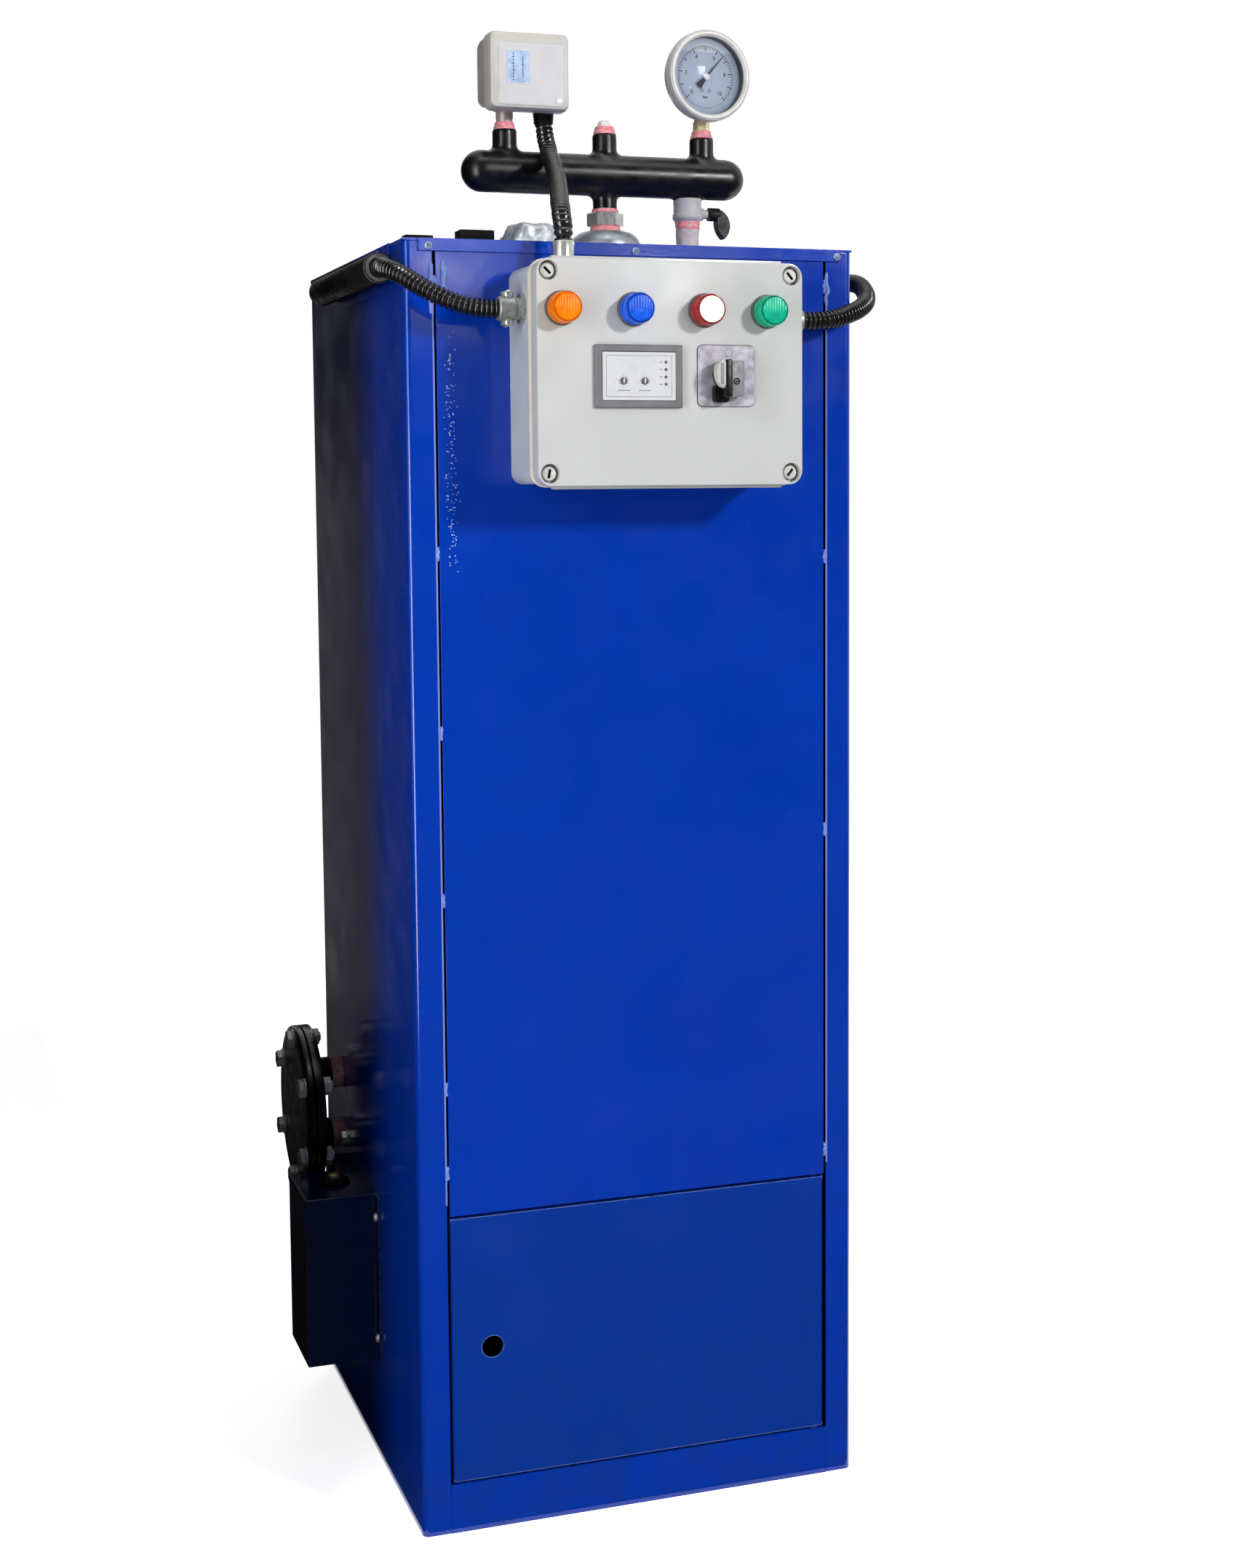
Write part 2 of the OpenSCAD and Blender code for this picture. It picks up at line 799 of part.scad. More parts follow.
module pressure_switch_case() {
    case_h = switch_h - switch_lift - switch_step;
    color("gainsboro")
        face_plate(switch_w - 2 * switch_step, case_h, switch_r, switch_case_y, switch_front_y + switch_d,
            switch_x, switch_case_z + case_h / 2);
}

module pressure_switch_cover() {
    window_w = switch_w * window_w_share;
    window_h = switch_h * window_h_share;
    color("lightgray")
        difference() {
            face_plate(switch_w, switch_h, switch_r, switch_front_y, switch_case_y,
                switch_x, switch_z + switch_h / 2);
            translate([switch_x + switch_w * window_x_share - window_w / 2, switch_front_y - over,
                    switch_z + switch_h * (0.5 + window_z_share) - window_h / 2])
                cube([window_w, window_t + over, window_h]);
        }
}

// Gauge, drawn square to the front and turned on its stem

module on_gauge() {
    translate([branch_x[2], 0, gauge_z]) rotate([0, 0, gauge_turn]) children();
}

gauge_case_d = gauge_d - 2 * gauge_lip;
gauge_bore_d = gauge_case_d - 2 * gauge_wall;
gauge_glass_d = gauge_case_d - gauge_wall;
gauge_case_front = gauge_front_y + gauge_bezel_t + gauge_glass_t;
gauge_floor = gauge_case_front + gauge_cup_d;

module gauge_stem() {
    color("goldenrod")
        hex_z(gauge_stem_af, branch_z, gauge_z - gauge_case_d / 2, branch_x[2], 0);
}

module gauge_case() {
    shoulder = gauge_front_y + gauge_shoulder;
    case_back = gauge_front_y + gauge_depth;
    color("silver")
        on_gauge()
            difference() {
                union() {
                    rod_y(gauge_case_d, gauge_case_front, shoulder, 0, 0);
                    translate([0, shoulder, 0])
                        rotate([-90, 0, 0])
                            cylinder(d1 = gauge_case_d - 2 * gauge_shoulder_step,
                                d2 = gauge_case_d * gauge_back_share, h = case_back - shoulder);
                    rod_z(gauge_stem_af, -gauge_case_d / 2, -gauge_case_d * gauge_boss_share, 0, 0);
                }
                rod_y(gauge_bore_d, gauge_case_front - over, gauge_floor, 0, 0);
            }
}

module gauge_bezel() {
    color("silver")
        on_gauge()
            difference() {
                rod_y(gauge_d, gauge_front_y, gauge_front_y + gauge_bezel_l, 0, 0);
                rod_y(gauge_case_d + 2 * round_gap, gauge_front_y + gauge_bezel_t,
                    gauge_front_y + gauge_bezel_l + over, 0, 0);
                rod_y(gauge_bore_d, gauge_front_y - over, gauge_front_y + gauge_bezel_l, 0, 0);
            }
}

module gauge_dial() {
    color("lightsteelblue")
        on_gauge() rod_y(gauge_bore_d - 2 * round_gap, gauge_floor - dial_t, gauge_floor, 0, 0);
}

module gauge_glass() {
    color("lightcyan", 0.3)
        on_gauge() rod_y(gauge_glass_d, gauge_case_front - gauge_glass_t, gauge_case_front, 0, 0);
}

module gauge_pointer() {
    face_y = gauge_floor - dial_t;
    color("black")
        on_gauge() {
            rod_y(pointer_hub_d, face_y - pointer_hub_h, face_y, 0, 0);
            rotate([0, -pointer_angle, 0])
                translate([-pointer_w / 2, face_y - pointer_hub_h, -gauge_d * pointer_tail_share])
                    cube([pointer_w, pointer_t, gauge_d * (pointer_tail_share + pointer_tip_share)]);
        }
}

// Ball valve

valve_side_x = valve_x + valve_d / 2;
lever_x = valve_side_x + stem_l;

module valve_body() {
    cap_x = lever_x + lever_hub_l + lever_gap;
    color("darkgray") {
        rod_z(valve_d, valve_z, valve_top_z, valve_x, 0);
        rod_x(stem_d, valve_x, lever_x - lever_gap, 0, lever_z);
        rod_x(lever_pin_d, lever_x - lever_gap, cap_x, 0, lever_z);
        rod_x(lever_cap_d, cap_x, cap_x + lever_cap_t, 0, lever_z);
    }
}

module valve_tail_pipe() {
    color("lightgray") rod_z(tail_d, cabinet_h, valve_z, valve_x, 0);
}

function grip_arc(shares, ends) = [for (i = [0 : grip_steps])
    let (a = ends[0] + (ends[1] - ends[0]) * i / grip_steps)
    [lever_reach * (shares[0] + shares[2] * cos(a)), lever_l * (shares[1] + shares[3] * sin(a))]];

module valve_lever() {
    hub_end = lever_x + lever_hub_l;
    color("black")
        difference() {
            union() {
                rod_x(lever_hub_d, lever_x, hub_end, 0, lever_z);
                translate([lever_x, lever_w / 2, lever_z])
                    rotate([90, 0, 0])
                        linear_extrude(lever_w)
                            polygon(concat(grip_arc(grip_outer_shares, grip_outer_ends),
                                grip_arc(grip_inner_shares, grip_inner_ends)));
            }
            rod_x(lever_pin_d + 2 * pin_gap, lever_x - over, hub_end + over, 0, lever_z);
            rod_x(lever_cap_d + 2 * lever_gap, hub_end, lever_x + lever_reach + over, 0, lever_z);
        }
}

// Control box

module control_box_body() {
    color("gainsboro") face_plate(body_w, body_h, lid_r - lid_step, lid_back_y, front_y, box_x, box_z);
}

module at_lid_corners() {
    for (sx = [-1, 1], sz = [-1, 1])
        translate([box_x + sx * (box_w / 2 - screw_inset), lid_y, box_z + sz * (box_h / 2 - screw_inset)])
            children();
}

module control_box_lid() {
    color("whitesmoke")
        difference() {
            union() {
                face_plate(box_w, box_h, lid_r, lid_y + lid_rim, lid_back_y, box_x, box_z);
                face_plate(box_w - 2 * lid_rim, box_h - 2 * lid_rim, lid_r - lid_rim, lid_y, lid_back_y,
                    box_x, box_z);
            }
            at_lid_corners() rod_y(recess_d, -over, recess_h, 0, 0);
        }
}

module lid_screws() {
    color("white")
        at_lid_corners()
            difference() {
                rod_y(screw_d, recess_h - screw_h, recess_h, 0, 0);
                translate([0, recess_h - screw_h, 0])
                    rotate([0, 45, 0])
                        cube([screw_d + over, 2 * screw_slot_d, screw_slot_w], center = true);
            }
}

// Controls on the lid

lamp_z = box_z + box_h * lamp_z_share;
collar_l = lamp_proud * collar_share;

module at_lamp(i) {
    translate([box_x + box_w * lamp_x_shares[i], lid_y, lamp_z]) children();
}

module lamp_collars() {
    color("dimgray")
        for (i = [0 : len(lamp_x_shares) - 1])
            at_lamp(i) rod_y(lamp_d, -collar_l, 0, 0, 0);
}

module lamp_lens(i) {
    lens_d = lamp_d - 2 * lens_edge;
    lens_l = lamp_proud - collar_l;
    at_lamp(i)
        translate([0, -collar_l, 0])
            rotate([90, 0, 0])
                rotate_extrude() {
                    square([lens_d / 2, lens_l - lens_round]);
                    square([lens_d / 2 - lens_round, lens_l]);
                    translate([lens_d / 2 - lens_round, lens_l - lens_round])
                        intersection() {
                            circle(lens_round);
                            square(lens_round);
                        }
                }
}

module lamp_lens_orange() {
    color("orange") lamp_lens(0);
}

module lamp_lens_blue() {
    color("blue") lamp_lens(1);
}

module lamp_lens_red() {
    color("red") lamp_lens(2);
}

module lamp_lens_green() {
    color("green") lamp_lens(3);
}

module level_relay() {
    x = box_x + box_w * relay_x_share;
    z = box_z + box_h * relay_z_share;
    color("slategray")
        difference() {
            face_plate(relay_w, relay_h, relay_r, lid_y - relay_t, lid_y, x, z);
            face_plate(relay_w - 2 * relay_rim, relay_h - 2 * relay_rim, relay_r, lid_y - relay_t - over,
                lid_y - relay_t + relay_inset, x, z);
        }
}

plate_x = box_x + box_w * plate_x_share;
plate_z = box_z + box_h * plate_z_share;
plate_y = lid_y - plate_t;
knob_x = plate_x + knob_shift;

module switch_plate() {
    color("silver") {
        face_plate(plate_w, plate_w, plate_r, plate_y, lid_y, plate_x, plate_z);
        translate([plate_x + block_shift - block_w / 2, plate_y - block_t, plate_z - block_h / 2])
            cube([block_w, block_t, block_h]);
        rod_y(knob_pin_d, plate_y - knob_base_t, plate_y, knob_x, plate_z);
    }
}

module switch_knob() {
    knob_y = plate_y - knob_gap;
    color("black")
        difference() {
            union() {
                rod_y(knob_d, knob_y - knob_base_t, knob_y, knob_x, plate_z);
                translate([knob_x - handle_w / 2, knob_y - knob_base_t - handle_t, plate_z - handle_l / 2])
                    cube([handle_w, handle_t, handle_l]);
            }
            rod_y(knob_pin_d + 2 * pin_gap, plate_y - knob_base_t - knob_gap, knob_y + over, knob_x, plate_z);
        }
}

// Conduits with their glands and the sleeve

gland_y = front_y - gland_depth;
left_gland_z = box_z + box_h * left_gland_z_share;
right_gland_z = box_z + box_h * right_gland_z_share;
top_gland_x = box_x + box_w * top_gland_x_share;
top_gland_y = front_y - top_gland_depth;
top_gland_z = box_z + body_h / 2 + top_gland_l;
switch_gland_x = switch_x + switch_w * switch_gland_x_share;
switch_gland_y = switch_case_y + switch_gland_inset;
switch_gland_z = switch_case_z - switch_gland_l;
left_route = tied(left_points, [box_x - body_w / 2 - gland_l, gland_y, left_gland_z],
    [sleeve_x, sleeve_y + sleeve_pocket, sleeve_z]);
right_route = tied(right_points, [box_x + body_w / 2 + gland_l, gland_y, right_gland_z],
    [side_x + boss_stand, front_y + boss_inset, cabinet_h - boss_drop]);
switch_route = tied(switch_points, [switch_gland_x, switch_gland_y, switch_gland_z],
    [top_gland_x, top_gland_y, top_gland_z]);

module side_gland(side, z) {
    x0 = box_x + side * body_w / 2;
    translate([x0, gland_y, z])
        mirror([side > 0 ? 0 : 1, 0, 0]) {
            hex_x(gland_nut_af, 0, gland_nut_t, 0, 0);
            rod_x(gland_d, gland_nut_t, gland_l, 0, 0);
        }
}

module conduit_glands() {
    color("silver") {
        side_gland(-1, left_gland_z);
        side_gland(1, right_gland_z);
        rod_z(top_gland_d, top_gland_z - top_gland_l, top_gland_z, top_gland_x, top_gland_y);
        rod_z(switch_gland_d, switch_gland_z, switch_case_z, switch_gland_x, switch_gland_y);
    }
}

module conduit_sleeve() {
    color("black")
        difference() {
            union() {
                rod_y(sleeve_d, sleeve_y, sleeve_end, sleeve_x, sleeve_z);
                translate([sleeve_x, sleeve_end, sleeve_z]) sphere(d = sleeve_d);
                rod_x(sleeve_stub_d, sleeve_x, -side_x, sleeve_end, sleeve_z);
            }
            rod_y(conduit_d + sleeve_pocket_gap, sleeve_y - over, sleeve_y + sleeve_pocket, sleeve_x, sleeve_z);
        }
}

// The boss that the right conduit runs into, square to the conduit and flat against the side panel
module right_grommet() {
    end = right_route[len(right_route) - 1];
    into = heading(right_route, len(right_route) - 1);
    color("black")
        intersection() {
            translate(end) rotate([0, 0, atan2(into[1], into[0])]) rod_x(sleeve_d, 0, sleeve_d, 0, 0);
            translate([side_x, end[1] - sleeve_d, end[2] - sleeve_d]) cube(2 * sleeve_d);
        }
}

module left_conduit() {
    color("black") tube(left_route, conduit_d, conduit_sides, [0, 0, 1]);
}

module right_conduit() {
    color("black") tube(right_route, conduit_d, conduit_sides, [0, 0, 1]);
}

module switch_conduit() {
    color("black") tube(switch_route, conduit_d, conduit_sides, [1, 0, 0]);
}

// Level chamber on the left side

module chamber_bolt_places() {
    for (i = [0 : chamber_bolts_n - 1])
        translate([0, chamber_y, chamber_z])
            rotate([360 * i / chamber_bolts_n + bolt_turn, 0, 0])
                translate([0, chamber_pcd / 2, 0])
                    children();
}

module chamber_plate(x0) {
    difference() {
        rod_x(chamber_d, x0, x0 + chamber_t, chamber_y, chamber_z);
        chamber_bolt_places()
            rod_x(chamber_bolt_d + 2 * bolt_gap, x0 - over, x0 + chamber_t + over, 0, 0);
    }
}

module chamber_flange() {
    color("black")
        difference() {
            union() {
                chamber_plate(chamber_x - chamber_t);
                for (s = [-1, 1])
                    rod_x(socket_d, chamber_x - chamber_t, chamber_x + socket_l,
                        chamber_y, chamber_z + s * socket_pitch / 2);
            }
            for (s = [-1, 1])
                rod_x(chamber_pipe_d + 2 * pipe_gap, chamber_x + socket_l - pipe_in, chamber_x + socket_l + over,
                    chamber_y, chamber_z + s * socket_pitch / 2);
        }
}

module chamber_cover() {
    color("black") chamber_plate(chamber_x - 2 * chamber_t);
}

module chamber_bolts() {
    head_x = chamber_x - 2 * chamber_t;
    color("silver") {
        chamber_bolt_places() {
            hex_x(bolt_af, head_x - bolt_head_t, head_x, 0, 0);
            rod_x(chamber_bolt_d, head_x, chamber_x + bolt_nut_t + bolt_end, 0, 0);
            hex_x(bolt_af, chamber_x, chamber_x + bolt_nut_t, 0, 0);
        }
        hex_x(side_bolt_af, -side_x - side_bolt_t, -side_x,
            chamber_y - tape_ring_d / 2 - side_bolt_af, chamber_z - socket_pitch / 2 + side_bolt_rise);
    }
}

module chamber_pipes() {
    end_x = chamber_x + socket_l;
    color("silver")
        for (s = [-1, 1])
            translate([0, chamber_y, chamber_z + s * socket_pitch / 2]) {
                rod_x(chamber_pipe_d, end_x - pipe_in, -side_x + sheet_t + 2 * pipe_nut_t, 0, 0);
                rod_x(tape_ring_d, end_x, -side_x, 0, 0);
                rod_x(pipe_nut_d, -side_x + sheet_t, -side_x + sheet_t + pipe_nut_t, 0, 0);
            }
}

// Pump box on the left side

module pump_box() {
    color("navy") {
        translate([pump_x, pump_y, pump_z]) cube([pump_out, pump_l, pump_h]);
        translate([-side_x - pump_rear_out, pump_y + pump_l, pump_z])
            cube([pump_rear_out, pump_rear_l, pump_h]);
        translate([-side_x - sheet_t, pump_y - pump_edge_w, pump_z])
            cube([sheet_t, pump_edge_w, pump_h]);
    }
}

grommet_x = pump_x + pump_out * grommet_x_share;
grommet_y = pump_y + pump_l * grommet_y_share;

module pump_grommet() {
    color("black") ring_z(grommet_d, grommet_hole_d, pump_top, pump_top + grommet_h, grommet_x, grommet_y);
}

module brass_fitting() {
    color("goldenrod") rod_z(fitting_d, pump_top, pump_top + fitting_h, grommet_x, grommet_y);
}

base_plate();
left_panel();
right_panel();
back_panel();
front_panel();
front_rail();
access_door();
roof();
drum_shell();
drum_top_head();
drum_bottom_head();
drum_legs();
burner();
steam_dome();
hexagon_nipple();
steam_header();
thread_tape();
insulation_wrap();
header_plug();
switch_nipple();
pressure_switch_case();
pressure_switch_cover();
gauge_stem();
gauge_case();
gauge_bezel();
gauge_dial();
gauge_glass();
gauge_pointer();
valve_body();
valve_tail_pipe();
valve_lever();
control_box_body();
control_box_lid();
lid_screws();
lamp_collars();
lamp_lens_orange();
lamp_lens_blue();
lamp_lens_red();
lamp_lens_green();
level_relay();
switch_plate();
switch_knob();
conduit_glands();
conduit_sleeve();
right_grommet();
left_conduit();
right_conduit();
switch_conduit();
chamber_flange();
chamber_cover();
chamber_bolts();
chamber_pipes();
pump_box();
pump_grommet();
brass_fitting();
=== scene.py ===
"""Looks of a vertical steam boiler in a blue sheet steel cabinet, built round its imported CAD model.

Shapes are worked out in millimetres, in the CAD frame, and turned into metres when a piece is made.
"""

import math

import bmesh
import bpy
from mathutils import Matrix, Vector, noise
from mathutils.geometry import delaunay_2d_cdt


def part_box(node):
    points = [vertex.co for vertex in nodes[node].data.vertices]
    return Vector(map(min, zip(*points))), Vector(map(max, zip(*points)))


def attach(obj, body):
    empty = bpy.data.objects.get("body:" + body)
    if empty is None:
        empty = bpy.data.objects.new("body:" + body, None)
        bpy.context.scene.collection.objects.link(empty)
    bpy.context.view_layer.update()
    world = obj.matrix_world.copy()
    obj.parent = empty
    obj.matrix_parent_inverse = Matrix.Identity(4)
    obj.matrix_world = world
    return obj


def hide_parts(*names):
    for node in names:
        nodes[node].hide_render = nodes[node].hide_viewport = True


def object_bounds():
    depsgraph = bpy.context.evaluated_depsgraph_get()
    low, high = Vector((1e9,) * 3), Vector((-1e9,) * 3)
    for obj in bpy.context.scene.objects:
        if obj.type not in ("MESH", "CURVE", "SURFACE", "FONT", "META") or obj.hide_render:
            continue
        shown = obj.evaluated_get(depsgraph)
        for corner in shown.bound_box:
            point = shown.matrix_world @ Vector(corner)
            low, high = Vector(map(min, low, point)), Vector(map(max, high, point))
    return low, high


MM = 0.001

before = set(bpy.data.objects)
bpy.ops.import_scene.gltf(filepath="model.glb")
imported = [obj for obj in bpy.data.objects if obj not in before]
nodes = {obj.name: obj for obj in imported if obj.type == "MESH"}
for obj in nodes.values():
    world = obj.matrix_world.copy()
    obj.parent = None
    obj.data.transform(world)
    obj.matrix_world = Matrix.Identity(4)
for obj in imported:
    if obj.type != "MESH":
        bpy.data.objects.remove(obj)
cad_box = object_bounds()
scene = bpy.context.scene

X = Vector((1, 0, 0))
Y = Vector((0, 1, 0))
Z = Vector((0, 0, 1))
FRONT = -Y

# Camera, at the photo's place and angle
IMAGE_SIZE = (1725, 2156)
CAMERA_PLACE = Vector((-0.6434, -2.0691, 0.9422))
CAMERA_YAW = math.radians(18.81)
CAMERA_PITCH = math.radians(-4.98)
CAMERA_ROLL = math.radians(-0.46)
FOCAL_PIXELS = 3017.5
AXIS_PIXEL_DOWN = 930.5
SENSOR = 36.0


def make_camera():
    ahead = Vector((
        math.sin(CAMERA_YAW) * math.cos(CAMERA_PITCH),
        math.cos(CAMERA_YAW) * math.cos(CAMERA_PITCH),
        math.sin(CAMERA_PITCH)))
    level = Vector((math.cos(CAMERA_YAW), -math.sin(CAMERA_YAW), 0))
    right = math.cos(CAMERA_ROLL) * level + math.sin(CAMERA_ROLL) * level.cross(ahead)
    up = right.cross(ahead)
    data = bpy.data.cameras.new("photo_camera")
    data.sensor_width = SENSOR
    data.lens = FOCAL_PIXELS * SENSOR / max(IMAGE_SIZE)
    data.shift_y = (AXIS_PIXEL_DOWN - IMAGE_SIZE[1] / 2) / max(IMAGE_SIZE)
    data.clip_end = 50
    camera = bpy.data.objects.new("photo_camera", data)
    turn = Matrix((right, up, -ahead)).transposed()
    camera.matrix_world = Matrix.Translation(CAMERA_PLACE) @ turn.to_4x4()
    scene.collection.objects.link(camera)
    scene.camera = camera


make_camera()

# Shapes


def node_box(name):
    """The lowest and highest corner of a CAD node, in millimetres."""
    low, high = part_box(name)
    return Vector(low) / MM, Vector(high) / MM


def node_block(name):
    """The middle of a CAD node's back face, and its width, height and depth, in millimetres."""
    low, high = node_box(name)
    back = Vector(((low.x + high.x) / 2, high.y, (low.z + high.z) / 2))
    return back, high.x - low.x, high.z - low.z, high.y - low.y


def node_post(name):
    """The foot of an upright CAD node's axis, and its height, in millimetres."""
    low, high = node_box(name)
    return Vector(((low.x + high.x) / 2, (low.y + high.y) / 2, low.z)), high.z - low.z


def node_span(name, axis):
    """How far a CAD node reaches along an axis, in millimetres."""
    places = [vertex.co.dot(axis) / MM for vertex in nodes[name].data.vertices]
    return min(places), max(places)


def square_to(axis):
    """Two directions at right angles to an axis and to each other."""
    helper = X if abs(axis.normalized().z) > 0.9 else Z
    across = axis.cross(helper).normalized()
    return across, axis.normalized().cross(across)


def rounded_loop(width, height, radius, steps=5):
    """The outline of a rectangle with round corners, as pairs."""
    loop = []
    for corner, (side, top) in enumerate(((1, 1), (-1, 1), (-1, -1), (1, -1))):
        for step in range(steps + 1):
            angle = math.radians(90 * (corner + step / steps))
            loop.append((side * (width / 2 - radius) + radius * math.cos(angle),
                         top * (height / 2 - radius) + radius * math.sin(angle)))
    return loop


def smooth_route(points, spacing):
    """Evenly spaced places along a smooth curve through given points."""
    points = [Vector(point) for point in points]
    ends = [2 * points[0] - points[1], *points, 2 * points[-1] - points[-2]]
    fine = []
    steps = 24
    for a, b, c, d in zip(ends, ends[1:], ends[2:], ends[3:]):
        for step in range(steps):
            t = step / steps
            fine.append(0.5 * (2 * b + (c - a) * t + (2 * a - 5 * b + 4 * c - d) * t ** 2
                               + (3 * b - a - 3 * c + d) * t ** 3))
    fine.append(points[-1])
    lengths = [0]
    for a, b in zip(fine, fine[1:]):
        lengths.append(lengths[-1] + (b - a).length)
    count = round(lengths[-1] / spacing)
    even = []
    at = 0
    for index in range(count + 1):
        goal = lengths[-1] * index / count
        while at < len(fine) - 2 and lengths[at + 1] < goal:
            at += 1
        part = (goal - lengths[at]) / (lengths[at + 1] - lengths[at])
        even.append(fine[at].lerp(fine[at + 1], part))
    return even, lengths[-1]


class Shape:
    """The points and faces of one piece, gathered from lofts, turned outlines, tubes and lettering."""

    def __init__(self):
        self.points = []
        self.faces = []
        self.slots = []

    def face(self, corners, slot):
        self.faces.append(corners)
        self.slots.append(slot)

    def loft(self, loops, slot=0, round_trip=False, ends=(True, True)):
        """Joins closed loops of the same count, and closes the ends unless the loops come round again."""
        start = len(self.points)
        count = len(loops[0])
        for loop in loops:
            self.points.extend(loop)
        for index in range(len(loops) if round_trip else len(loops) - 1):
            a = start + index * count
            b = start + (index + 1) % len(loops) * count
            for k in range(count):
                n = (k + 1) % count
                self.face((a + k, a + n, b + n, b + k), slot)
        last = start + (len(loops) - 1) * count
        if ends[0] and not round_trip:
            self.face(tuple(range(start + count - 1, start - 1, -1)), slot)
        if ends[1] and not round_trip:
            self.face(tuple(range(last, last + count)), slot)

    def pierced(self, loops, slot=0):
        """A face that looks to the front: its outline, then the loops of its holes."""
        start = len(self.points)
        flat = []
        edges = []
        owner = []
        for number, loop in enumerate(loops):
            first = len(flat)
            flat.extend([Vector((point.x, point.z)) for point in loop])
            edges.extend([(first + k, first + (k + 1) % len(loop)) for k in range(len(loop))])
            owner.extend([number] * len(loop))
            self.points.extend(loop)
        for corners in delaunay_2d_cdt(flat, edges, [], 2, 1e-5)[2]:
            owners = {owner[index] for index in corners}
            if len(owners) > 1 or owners == {0}:
                self.face(tuple(start + index for index in corners), slot)

    def turned(self, outline, place, axis, sides=40, slot=0, turn=0):
        """Turns (radius, distance) pairs about an axis through a place."""
        across, up = square_to(axis)
        loops = []
        for radius, distance in outline:
            middle = Vector(place) + axis.normalized() * distance
            angles = [2 * math.pi * k / sides + turn for k in range(sides)]
            loops.append([middle + radius * (math.cos(a) * across + math.sin(a) * up) for a in angles])
        self.loft(loops, slot)

    def hoop(self, outline, place, axis, sides=48, slot=0):
        """Turns a closed outline of (radius, distance) pairs into a ring."""
        across, up = square_to(axis)
        loops = []
        for k in range(sides):
            angle = 2 * math.pi * k / sides
            out = math.cos(angle) * across + math.sin(angle) * up
            loops.append([Vector(place) + radius * out + distance * axis.normalized()
                          for radius, distance in outline])
        self.loft(loops, slot, round_trip=True)

    def hexagon(self, flats, start, end, place, axis, slot=0, turn=0, chamfer=0.9):
        """A hexagon bar with chamfered ends."""
        radius = flats / math.sqrt(3)
        bevel = radius * (1 - chamfer) * 0.6
        small = radius * chamfer
        outline = [(small, start), (radius, start + bevel), (radius, end - bevel), (small, end)]
        self.turned(outline, place, axis, 6, slot, turn)

    def tube(self, path, radii, sides=16, slot=0):
        """A tube along a path, with a radius at each place."""
        loops = []
        across = square_to(path[1] - path[0])[0]
        for index, place in enumerate(path):
            along = (path[min(index + 1, len(path) - 1)] - path[max(index - 1, 0)]).normalized()
            across = (across - across.dot(along) * along).normalized()
            up = along.cross(across)
            angles = [2 * math.pi * k / sides for k in range(sides)]
            loops.append([place + radii[index] * (math.cos(a) * across + math.sin(a) * up) for a in angles])
        self.loft(loops, slot)

    def plates(self, rings, middle, slot=0, right=X, up=Z, out=FRONT):
        """Lofts rounded rectangles, each (width, height, corner radius, distance out), about a middle."""
        middle = Vector(middle)
        loops = []
        for width, height, radius, distance in rings:
            loops.append([middle + right * a + up * b + out * distance
                          for a, b in rounded_loop(width, height, radius)])
        self.loft(loops, slot)

    def block(self, width, height, depth, edge, middle, slot=0, right=X, up=Z, out=FRONT):
        """A block with rounded edges that stands on its middle's plane."""
        small = edge * 0.3
        self.plates([
            (width - small, height - small, edge, 0), (width, height, edge, small),
            (width, height, edge, depth - edge), (width - small, height - small, edge, depth - small),
            (width - 2 * edge, height - 2 * edge, edge * 0.5, depth)], middle, slot, right, up, out)

    def words(self, text, size, place, right, up, depth=0.15, slot=0):
        """Raised figures, centred on a place."""
        curve = bpy.data.curves.new("figures", "FONT")
        curve.body = text
        curve.size = size
        curve.align_x = "CENTER"
        curve.align_y = "CENTER"
        curve.extrude = depth
        carrier = bpy.data.objects.new("figures", curve)
        scene.collection.objects.link(carrier)
        mesh = carrier.to_mesh()
        start = len(self.points)
        out = right.cross(up)
        for vertex in mesh.vertices:
            self.points.append(Vector(place) + right * vertex.co.x + up * vertex.co.y + out * vertex.co.z)
        for polygon in mesh.polygons:
            self.face(tuple(start + index for index in polygon.vertices), slot)
        carrier.to_mesh_clear()
        bpy.data.objects.remove(carrier)
        bpy.data.curves.remove(curve)


def make_mesh(name, shape, sharp_angle):
    data = bpy.data.meshes.new(name)
    data.from_pydata([point * MM for point in shape.points], [], shape.faces)
    for polygon, slot in zip(data.polygons, shape.slots):
        polygon.material_index = slot
    form = bmesh.new()
    form.from_mesh(data)
    bmesh.ops.remove_doubles(form, verts=form.verts, dist=1e-6)
    bmesh.ops.recalc_face_normals(form, faces=form.faces)
    form.to_mesh(data)
    form.free()
    data.shade_smooth()
    data.set_sharp_from_angle(angle=math.radians(sharp_angle))
    return data


def add_piece(name, shape, finishes, body="cabinet", replaced=(), sharp_angle=35):
    """Makes a piece that rides on a body, with its materials and the CAD nodes that it stands for."""
    data = make_mesh(name, shape, sharp_angle)
    for finish in finishes:
        data.materials.append(finish.material)
    piece = bpy.data.objects.new(name, data)
    scene.collection.objects.link(piece)
    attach(piece, body)
    if replaced:
        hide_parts(*replaced)
    return piece


def dress(names, finish, edge=0.0):
    """Gives CAD nodes a material, and softens their edges by a bevel in millimetres."""
    for name in names:
        node = nodes[name]
        node.data.materials.clear()
        node.data.materials.append(finish.material)
        if edge:
            weld = node.modifiers.new("weld", "WELD")
            weld.merge_threshold = 1e-5
            bevel = node.modifiers.new("bevel", "BEVEL")
            bevel.width = edge * MM
            bevel.segments = 3
            bevel.limit_method = "ANGLE"
            bevel.angle_limit = math.radians(40)
            bevel.harden_normals = True


# Materials


def set_inputs(node, values):
    """Sets inputs of a shader node by their names."""
    for name, value in values.items():
        node.inputs[name].default_value = value


